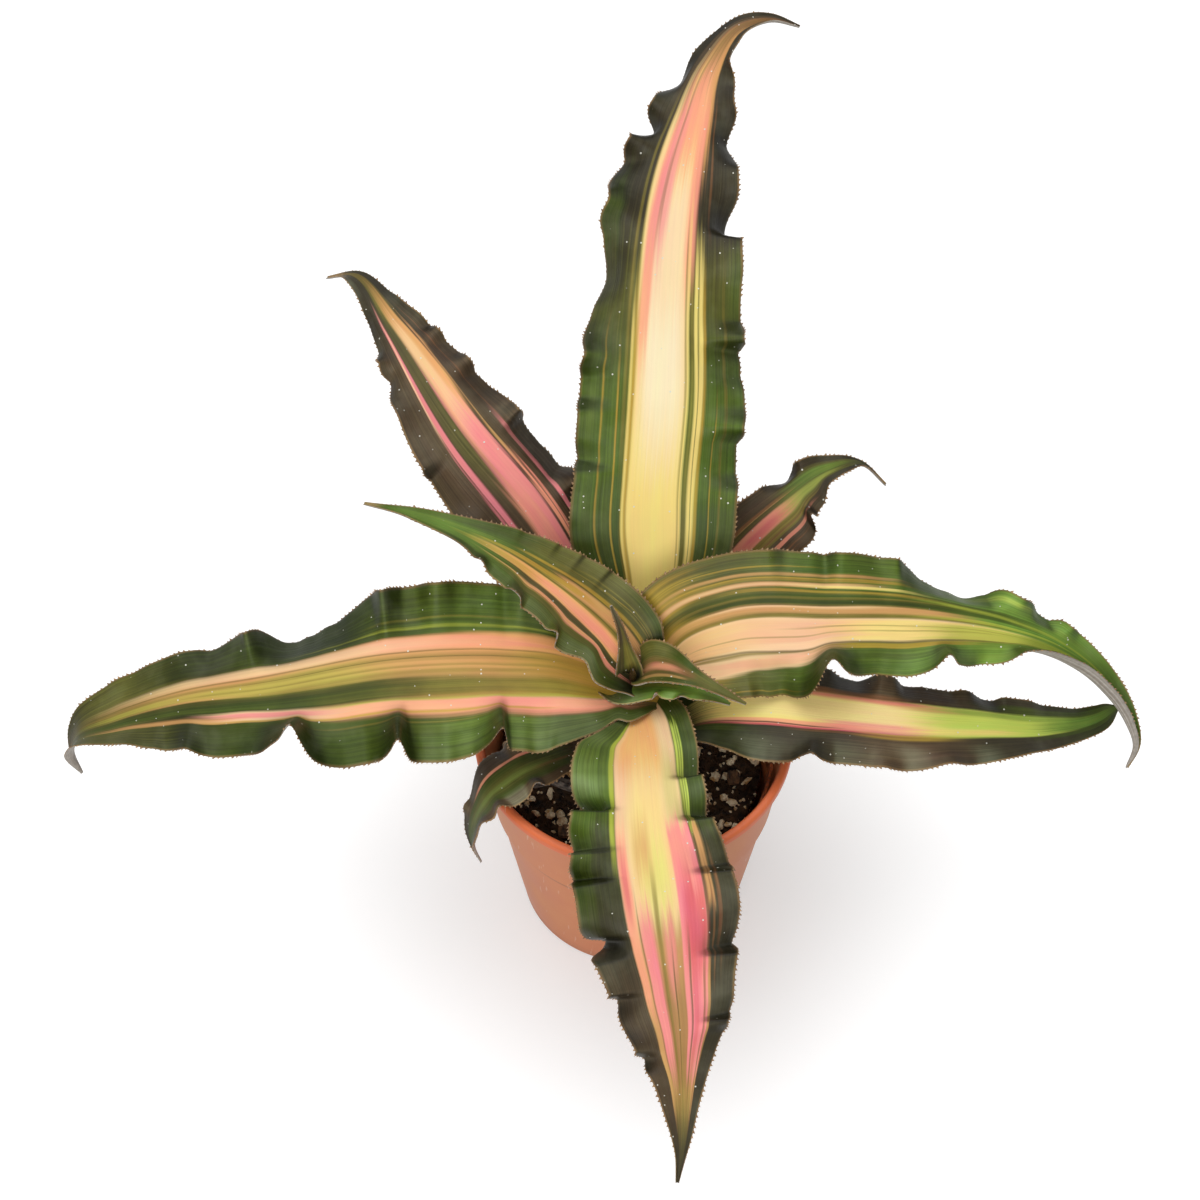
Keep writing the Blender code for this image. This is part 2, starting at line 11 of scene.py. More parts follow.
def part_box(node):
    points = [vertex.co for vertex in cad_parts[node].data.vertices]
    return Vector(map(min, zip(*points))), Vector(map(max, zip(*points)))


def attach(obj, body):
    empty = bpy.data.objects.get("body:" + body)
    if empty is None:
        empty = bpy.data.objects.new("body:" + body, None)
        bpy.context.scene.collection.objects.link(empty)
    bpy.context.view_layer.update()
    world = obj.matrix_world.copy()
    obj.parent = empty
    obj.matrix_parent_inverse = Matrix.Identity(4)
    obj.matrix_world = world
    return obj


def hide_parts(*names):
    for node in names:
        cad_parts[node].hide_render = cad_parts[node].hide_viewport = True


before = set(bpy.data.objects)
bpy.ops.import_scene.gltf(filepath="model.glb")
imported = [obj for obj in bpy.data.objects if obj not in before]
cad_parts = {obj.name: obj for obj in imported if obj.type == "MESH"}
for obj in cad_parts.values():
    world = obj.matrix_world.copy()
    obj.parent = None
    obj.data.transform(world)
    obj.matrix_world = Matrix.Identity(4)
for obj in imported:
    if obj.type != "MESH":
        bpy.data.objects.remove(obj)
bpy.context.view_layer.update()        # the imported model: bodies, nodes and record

mm = 0.001
wholeTurn = 2 * math.pi

# Colours the leaves are painted with, sRGB
palette = {
    "bottle": "#2F3511", "leaf": "#43501A", "fern": "#556A25", "sage": "#869848", "grass": "#74943A",
    # pitch: near black, painted shade of the hollow at the heart of the rosette
    "moss": "#62622C", "charcoal": "#393322", "pitch": "#120E08", "umber": "#54432F", "slate": "#58543E",
    "straw": "#B8966A", "olive": "#8A7A35", "darkOlive": "#5C5628", "gold": "#C09A3C",
    "limeLine": "#B4BC46", "lime": "#D2E264", "yellow": "#FFE384", "cream": "#FFF1C8",
    "peach": "#FFD6A4", "orange": "#F8B670", "tan": "#DEA468", "brown": "#8C5F3C",
    "salmon": "#FFA486", "pink": "#FA9092", "rose": "#E0646C",
}


def hexColour(code):
    parts = [int(code[i:i + 2], 16) / 255 for i in (1, 3, 5)]
    return (*[p / 12.92 if p <= 0.04045 else ((p + 0.055) / 1.055) ** 2.4 for p in parts], 1.0)


def addNode(tree, kind, inputs=(), **settings):
    # inputs: by name or number, or a list in the node's own order; a node stands for its first live output
    isShader = not kind.startswith(("Geometry", "Function", "Node"))
    node = tree.nodes.new("ShaderNode" + kind if isShader else kind)
    for name, value in settings.items():
        setattr(node, name, value)
    for key, value in inputs.items() if isinstance(inputs, dict) else enumerate(inputs):
        if isinstance(value, bpy.types.Node):
            value = next(socket for socket in value.outputs if socket.enabled)
        if isinstance(value, bpy.types.NodeSocket):
            tree.links.new(value, node.inputs[key])
        else:
            node.inputs[key].default_value = value
    return node


def startTree(kind, name, takes, gives):
    # takes and gives: the labels of the sockets, by their kind
    tree = bpy.data.node_groups.new(name, kind + "NodeTree")
    for way, sockets in (("INPUT", takes), ("OUTPUT", gives)):
        for socketKind, labels in sockets.items():
            for label in labels:
                tree.interface.new_socket(label, in_out=way, socket_type="NodeSocket" + socketKind)
    return tree, addNode(tree, "NodeGroupInput").outputs


def endTree(tree, shape, material):
    # instances have to end as real meshes
    real = addNode(tree, "GeometryNodeRealizeInstances", [shape])
    painted = addNode(tree, "GeometryNodeSetMaterial", {"Geometry": real, "Material": material})
    addNode(tree, "NodeGroupOutput", [painted])
    return tree


def emptyTree(owner):
    owner.use_nodes = True
    owner.node_tree.nodes.clear()
    return owner.node_tree


def startMaterial(name, fixed):
    material = bpy.data.materials.new(name)
    tree = emptyTree(material)
    shader = addNode(tree, "BsdfPrincipled", fixed)
    addNode(tree, "OutputMaterial", {"Surface": shader})
    return material, tree, shader


def finishMaterial(tree, shader, colour, rough, height, strength, depth):
    # height and depth: the surface relief and how deep it is in metres, 0 for none
    ends = {"Base Color": colour, "Roughness": rough}
    if depth:
        ends["Normal"] = addNode(tree, "Bump", {"Strength": strength, "Distance": depth, "Height": height})
    for label, node in ends.items():
        tree.links.new(next(socket for socket in node.outputs if socket.enabled), shader.inputs[label])


def setRamp(ramp, stops, tones):
    for element, stop, tone in zip(ramp.color_ramp.elements, stops, tones):
        element.position = stop
        element.color = hexColour(tone)


def paintMottled(name, tones, scale, detail, stops, rough, relief, fixed, pitScale=None):
    # noise between a dark and a pale tone gives the roughness and the relief too, unless pits give that
    material, tree, shader = startMaterial(name, fixed)
    own = place = addNode(tree, "TexCoord").outputs["Object"]
    if isinstance(scale, tuple):
        place = addNode(tree, "Mapping", {"Vector": own, "Scale": scale})
        scale = 1.0
    grain = addNode(tree, "TexNoise", {"Vector": place, "Scale": scale, "Detail": detail})
    ramp = addNode(tree, "ValToRGB", [grain])
    setRamp(ramp, stops, tones)
    matt = addNode(tree, "MapRange", [grain, 0, 1, *rough])
    height = grain
    if pitScale:
        height = addNode(tree, "TexVoronoi", {"Vector": own, "Scale": pitScale})
    finishMaterial(tree, shader, ramp, matt, height, *relief)
    return material


def paintDry(name, dark, pale, scale):
    # dead plant matter: fibres along the piece, bleached on their crests
    return paintMottled(name, (dark, pale), scale, 4.0, (0.35, 0.68), (0.6, 0.9), (0.8, 0.0003),
                        {"Specular IOR Level": 0.3})


def addPiece(name, mesh, materials=()):
    piece = bpy.data.objects.new(name, mesh)
    bpy.context.scene.collection.objects.link(piece)
    for material in materials:
        mesh.materials.append(material)
    return piece


def finishPiece(piece, slotName, *nodes):
    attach(piece, "root")
    if nodes:
        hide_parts(*nodes)


def makeMesh(name, points, faces, edges=()):
    mesh = bpy.data.meshes.new(name)
    mesh.from_pydata(points, edges, faces)
    return mesh


def smooth(mesh):
    mesh.polygons.foreach_set("use_smooth", np.ones(len(mesh.polygons), bool))


def smoothByAngle(mesh, degrees):
    smooth(mesh)
    mesh.set_sharp_from_angle(angle=math.radians(degrees))


def keepShape(name, shape, material, slotName, node, rounded=True):
    # a finished bmesh becomes the piece that stands for a node
    mesh = makeMesh(name, [], [])
    shape.to_mesh(mesh)
    shape.free()
    if rounded:
        smooth(mesh)
    finishPiece(addPiece(name, mesh, [material]), slotName, node)


def keepResult(piece):
    # what the piece's modifiers make becomes its plain mesh
    graph = bpy.context.evaluated_depsgraph_get()
    piece.data = bpy.data.meshes.new_from_object(piece.evaluated_get(graph))
    piece.modifiers.clear()
    piece.data.name = piece.name


def bakeNodes(piece, tree, values):
    # runs a node tree on the piece and keeps the result
    modifier = piece.modifiers.new(tree.name, "NODES")
    modifier.node_group = tree
    for item in tree.interface.items_tree:
        if item.item_type == "SOCKET" and item.in_out == "INPUT" and item.name in values:
            modifier[item.identifier] = values[item.name]
    bpy.context.view_layer.update()
    keepResult(piece)


def turnOutwards(mesh, merge=1e-6):
    shape = bmesh.new()
    shape.from_mesh(mesh)
    bmesh.ops.remove_doubles(shape, verts=shape.verts, dist=merge)
    bmesh.ops.recalc_face_normals(shape, faces=shape.faces)
    shape.to_mesh(mesh)
    shape.free()


# Studio: a pale floor that fades to white and soft light from the upper left
studio = {
    "cameraPlace": (-9.5, -499.77, 754.35),
    "cameraTilt": 38.7,            # degrees up from looking straight down
    "lens": 90.0,
    "floorSize": 6000.0,
    "floorTone": "#CDCDCD",        # what the floor gives back of the light
    "floorGlow": (0.44, 0.72),     # rest of the white, seen by the camera only: near the pot and far away
    "glowReach": (0.035, 0.13),    # metres from the pot's middle
    "skyLight": 0.2,
    # each lamp: place in metres, watts and width in metres
    "lamps": {"key": ((-0.18, 0.2, 1.12), 7.9, 1.35), "fill": ((-0.1, -0.98, 0.55), 7.0, 1.0)},
    "lampAim": (0, 0, 0.08),
}


def makeCamera():
    data = bpy.data.cameras.new("camera")
    data.lens = studio["lens"]
    data.sensor_width = 36.0
    data.clip_end = 20.0
    camera = addPiece("camera", data)
    camera.location = [value * mm for value in studio["cameraPlace"]]
    camera.rotation_euler = (math.radians(studio["cameraTilt"]), 0.0, 0.0)
    bpy.context.scene.camera = camera


def addLamp(name, place, power, size):
    data = bpy.data.lights.new(name, "AREA")
    data.shape = "DISK"
    data.size = size
    data.energy = power
    lamp = addPiece(name, data)
    lamp.location = place
    lamp.rotation_euler = (Vector(studio["lampAim"]) - Vector(place)).to_track_quat("-Z", "Y").to_euler()


def whiteRays(tree):
    # 1 for the rays that should see plain white: straight to the camera, mirrored or through glass
    rays = addNode(tree, "LightPath").outputs
    first = addNode(tree, "Math", [rays["Is Camera Ray"], rays["Is Glossy Ray"]], operation="MAXIMUM")
    return addNode(tree, "Math", [first, rays["Is Transmission Ray"]], operation="MAXIMUM")


def makeFloor():
    half = studio["floorSize"] / 2 * mm
    mesh = makeMesh("floor", [(-half, -half, 0), (half, -half, 0), (half, half, 0), (-half, half, 0)],
                    [(0, 1, 2, 3)])
    material = bpy.data.materials.new("pale paper floor")
    tree = emptyTree(material)
    paper = addNode(tree, "BsdfDiffuse", {"Color": hexColour(studio["floorTone"])})
    # the glow grows away from the plant, so that the far floor is plain white
    own = addNode(tree, "TexCoord").outputs["Object"]
    away = addNode(tree, "VectorMath", [own], operation="LENGTH")
    glowing = addNode(tree, "MapRange", [away, *studio["glowReach"], *studio["floorGlow"]],
                      interpolation_type="SMOOTHSTEP")
    strength = addNode(tree, "Math", [whiteRays(tree), glowing], operation="MULTIPLY")
    glow = addNode(tree, "Emission", {"Strength": strength})
    addNode(tree, "OutputMaterial", {"Surface": addNode(tree, "AddShader", [paper, glow])})
    addPiece("floor", mesh, [material])


def makeSky():
    world = bpy.data.worlds.new("studio")
    bpy.context.scene.world = world
    tree = emptyTree(world)
    light, white = [addNode(tree, "Background", {"Color": (1, 1, 1, 1), "Strength": strength})
                    for strength in (studio["skyLight"], 1.0)]
    both = addNode(tree, "MixShader", [whiteRays(tree), light, white])
    addNode(tree, "OutputWorld", {"Surface": both})


def makeStudio():
    bpy.context.scene.view_settings.view_transform = "Standard"
    makeCamera()
    makeFloor()
    makeSky()
    for name, lamp in studio["lamps"].items():
        addLamp(name, *lamp)
    print("studio ready")


# What all the blades share
blade = {
    "thickness": 1.2,
    "edgeThickness": 0.55,
    "hinge": 30,               # percent of each half that stays out of the ruffles
    "reach": 40,               # percent over which a ruffle comes to its full tilt
    "large": (260, 24),        # rows along, and steps from the midrib to a margin, of a grown blade
    "small": (110, 14),
    "grown": 9.0,              # half-width from which a blade counts as grown
    "crinkle": 5.0,            # small unevenness of the ruffles, degrees
    "crinkleLength": 5.0,
    "toothSpacing": 1.4,
    "toothLength": 0.8,
    "toothWidth": 0.50,
    "bareBase": 0.06,          # share of the margin that has no teeth
    "veinWobble": 0.045,       # how far the stripes' edges wander, in half-widths
    "endWobble": 0.08,         # how streaky the stripes' ends are, in lengths
    "paintedLightFrom": (-0.1, -0.74, 0.66),     # direction of the light that is painted onto the ruffles
}


def makeStripeGroup():
    # one painted stripe: soft along its sides, streaky at its ends, drifting sideways if asked
    group, given = startTree("Shader", "painted stripe", {"Color": ("Under", "Paint"), "Float": (
        "Across", "Along", "Low", "Low Full", "High", "High Full", "Start", "Start Full", "End", "End Full",
        "Drift", "Strength")}, {"Color": ["Colour"]})
    along = given["Along"]
    drifted = addNode(group, "MapRange", [along, given["Start"], given["End"], 0, given["Drift"]])
    across = addNode(group, "Math", [given["Across"], drifted], operation="SUBTRACT")
    mask = given["Strength"]
    for value, side in ((across, "Low"), (across, "High"), (along, "Start"), (along, "End")):
        edge = addNode(group, "MapRange", [value, given[side], given[side + " Full"]],
                       interpolation_type="SMOOTHSTEP")
        mask = addNode(group, "Math", [mask, edge], operation="MULTIPLY")
    painted = addNode(group, "Mix", {0: mask, 6: given["Under"], 7: given["Paint"]}, data_type="RGBA")
    addNode(group, "NodeGroupOutput", [painted])
    return group


def addStreaks(tree, across, along, seed, acrossScale, alongScale, detail):
    # noise drawn out along the blade
    scaled = [addNode(tree, "Math", [part, scale], operation="MULTIPLY")
              for part, scale in ((across, acrossScale), (along, alongScale))]
    stretched = addNode(tree, "CombineXYZ", [*scaled, seed])
    return addNode(tree, "TexNoise", {"Vector": stretched, "Scale": 1.0, "Detail": detail})


def makeBladeGroup():
    # where a point lies on its blade: -1 to 1 across, 0 to 1 along, with the wander of real veins
    group, given = startTree("Shader", "blade coordinates", {"Float": ["Leaf Seed"]}, {
        "Float": ("Across", "Along", "Plain Across", "Plain Along")})
    place = addNode(group, "UVMap", uv_map="blade")
    side, length = addNode(group, "SeparateXYZ", [place]).outputs[:2]
    plain = addNode(group, "Math", [side, 2, -1], operation="MULTIPLY_ADD")
    streaks = [addStreaks(group, side, length, given[0], *scales)
               for scales in ((9.0, 3.0, 2.0), (46.0, 1.6, 1.0), (70.0, 0.9, 1.0))]
    broad, fine, ends = [addNode(group, "Math", [streak, 0.5], operation="SUBTRACT") for streak in streaks]
    across = addNode(group, "Math", [broad, blade["veinWobble"] * 1.6, plain], operation="MULTIPLY_ADD")
    across = addNode(group, "Math", [fine, blade["veinWobble"], across], operation="MULTIPLY_ADD")
    along = addNode(group, "Math", [ends, blade["endWobble"], length], operation="MULTIPLY_ADD")
    addNode(group, "NodeGroupOutput", [across, along, plain, length])
    return group


def makeSkinGroup():
    # living leaf: fine parallel veins, a waxy half gloss, pale bloom on the dark margins and white scurf
    group, given = startTree(
        "Shader", "leaf skin", {"Color": ["Colour"], "Float": ("Across", "Along", "Bloom", "Leaf Seed")},
        {"Color": ["Colour"], "Float": ["Roughness"], "Vector": ["Normal"]})
    place = addNode(group, "TexCoord").outputs["Object"]
    veins, hairlines, blotches = [
        addStreaks(group, given["Across"], given["Along"], given["Leaf Seed"], *scales)
        for scales in ((30.0, 2.5, 2.0), (75.0, 4.0, 0.0), (4.5, 7.0, 2.0))]
    clouds, pores = [addNode(group, "TexNoise", {"Vector": place, "Scale": scale, "Detail": detail})
                     for scale, detail in ((110.0, 3.0), (1400.0, 2.0))]

    # veins and clouds darken and lighten the green parts, and the pale bands hardly at all
    colour = given["Colour"]
    green = addNode(group, "MapRange", [addNode(group, "SeparateColor", [colour]), 0.18, 0.5, 1, 0.08])
    for source, swing in ((veins, 0.5), (hairlines, 0.3), (clouds, 0.4)):
        shade = addNode(group, "MapRange", [source, 0, 1, -swing, swing], clamp=False)
        shade = addNode(group, "Math", [shade, green, 1], operation="MULTIPLY_ADD")
        colour = addNode(group, "VectorMath", {0: colour, "Scale": shade}, operation="SCALE")

    # blotches along the blade lean to yellow or to pink
    lean = addNode(group, "MapRange", [blotches, 0.3, 0.7, 0.49, 0.512])
    colour = addNode(group, "HueSaturation", {"Hue": lean, "Color": colour})

    # bloom: a grey haze of tiny scales, thickest on the dark parts
    haze = addNode(group, "MapRange", [clouds, 0.46, 0.7, 0, 0.12])
    haze = addNode(group, "Math", [haze, given["Bloom"]], operation="MULTIPLY")
    # scurf: white specks about 0.3 mm across, one every 3 mm or so, drawn a little coarse to show
    cells = addNode(group, "TexVoronoi", {"Vector": place, "Scale": 500.0, "Randomness": 1.0}).outputs
    pick = addNode(group, "SeparateColor", [cells["Color"]])
    reach = addNode(group, "MapRange", [pick, 0.55, 1, 0, 0.13])
    speck = addNode(group, "Math", [cells["Distance"], reach], operation="LESS_THAN")
    for mask, tone in ((haze, "#8C8F7C"), (speck, "#E6E4D6")):
        colour = addNode(group, "Mix", {0: mask, 6: colour, 7: hexColour(tone)}, data_type="RGBA")

    rough = addNode(group, "MapRange", [clouds, 0.3, 0.7, 0.36, 0.52])
    rough = addNode(group, "Math", [speck, 0.4, rough], operation="MULTIPLY_ADD")
    height = veins
    for source, share in ((pores, 0.3), (hairlines, 0.12), (speck, 0.8)):
        height = addNode(group, "Math", [source, share, height], operation="MULTIPLY_ADD")
    bump = addNode(group, "Bump", {"Strength": 0.4, "Distance": 0.0002, "Height": height})
    addNode(group, "NodeGroupOutput", [colour, rough, bump])
    return group


def paintLeaf(name, leaf, seed, groups):
    # striped bromeliad blade: fleshy and waxy, grown, so that each stripe runs along its veins
    material, tree, shader = startMaterial(
        "striped waxy leaf " + name, {"IOR": 1.45, "Specular IOR Level": 0.2})
    at = addNode(tree, "Group", {"Leaf Seed": seed}, node_tree=groups["blade"]).outputs
    colour = hexColour(palette[leaf["margins"][0][0]])
    for tone, start in leaf["margins"][1:]:
        turn = addNode(tree, "MapRange", [at["Along"], start / 100 - 0.07, start / 100 + 0.07],
                       interpolation_type="SMOOTHSTEP")
        colour = addNode(tree, "Mix", {0: turn, 6: colour, 7: hexColour(palette[tone])}, data_type="RGBA")
    for tone, *shares in leaf["stripes"]:
        shares = [share / 100 for share in shares + plainStripe[len(shares) - 4:]]
        low, high, start, end, drift, strength, edge, fade = shares
        edge = min(edge, (high - low) / 2)
        values = {"Under": colour, "Across": at["Across"], "Along": at["Along"], "Drift": drift,
                  "Strength": strength, "Paint": hexColour(palette[tone])}
        for side, place, soft in (("Low", low, edge), ("High", high, -edge), ("Start", start, fade),
                                  ("End", end, -fade)):
            values[side] = place - soft
            values[side + " Full"] = place + soft
        colour = addNode(tree, "Group", values, node_tree=groups["stripe"])

    outward = addNode(tree, "Math", [at["Plain Across"]], operation="ABSOLUTE")
    horny = addNode(tree, "MapRange", [outward, 0.97, 1, 0, 0.6])        # where the teeth stand
    colour = addNode(tree, "Mix", {0: horny, 6: colour, 7: hexColour("#9C7A50")}, data_type="RGBA")
    dark = addNode(tree, "MapRange", [outward, 0.35, 0.6, 0.15])
    # painted light and shade: ruffle sides facing the painted light are lighter, sides turned away darker
    paintedLight = addNode(tree, "Attribute", attribute_name="paintedLight").outputs["Fac"]
    shade = addNode(tree, "MapRange", [paintedLight, -0.4, 0.4, 0.35, 1.65])
    paintedLightAndShade = addNode(tree, "VectorMath", {0: colour, "Scale": shade}, operation="SCALE")
    # painted highlight: pale grey-green on the ruffle sides that face the painted light
    bloom = addNode(tree, "MapRange", [paintedLight, 0.05, 0.5, 0, 0.34], interpolation_type="SMOOTHSTEP")
    bloom = addNode(tree, "Math", [bloom, dark], operation="MULTIPLY")
    for mask, tone in ((dark, paintedLightAndShade), (bloom, hexColour("#B2C2A0"))):
        colour = addNode(tree, "Mix", {0: mask, 6: colour, 7: tone}, data_type="RGBA")
    skin = addNode(tree, "Group", {
        "Colour": colour, "Across": at["Plain Across"], "Along": at["Plain Along"], "Bloom": dark,
        "Leaf Seed": seed}, node_tree=groups["skin"]).outputs
    for label, target in (("Colour", "Base Color"), ("Roughness", "Roughness"), ("Normal", "Normal")):
        tree.links.new(skin[label], shader.inputs[target])
    return material


def paintUnderside():
    # back of the blade: felted with silvery scales in fine lengthwise lines
    material, tree, shader = startMaterial("silver scaled leaf back", {"IOR": 1.4})
    place = addNode(tree, "UVMap", uv_map="blade")
    stretched = addNode(tree, "Mapping", {"Vector": place, "Scale": (70.0, 3.0, 1.0)})
    lines = addNode(tree, "TexNoise", {"Vector": stretched, "Scale": 1.0, "Detail": 2.0})
    ramp = addNode(tree, "ValToRGB", [lines])
    setRamp(ramp, (0.3, 0.7), ("#85796C", "#C6C0B6"))
    own = addNode(tree, "TexCoord").outputs["Object"]
    scales = addNode(tree, "TexNoise", {"Vector": own, "Scale": 900.0, "Detail": 3.0})
    shade = addNode(tree, "MapRange", [scales, 0.3, 0.7, 0.82, 1.12])
    colour = addNode(tree, "VectorMath", {0: ramp, "Scale": shade}, operation="SCALE")
    rough = addNode(tree, "MapRange", [scales, 0, 1, 0.42, 0.66])
    finishMaterial(tree, shader, colour, rough, lines, 0.5, 0.0002)
    return material


# Drift, strength, edge and fade of a stripe that doesn't say, in hundredths
plainStripe = [0, 92, 3, 5]

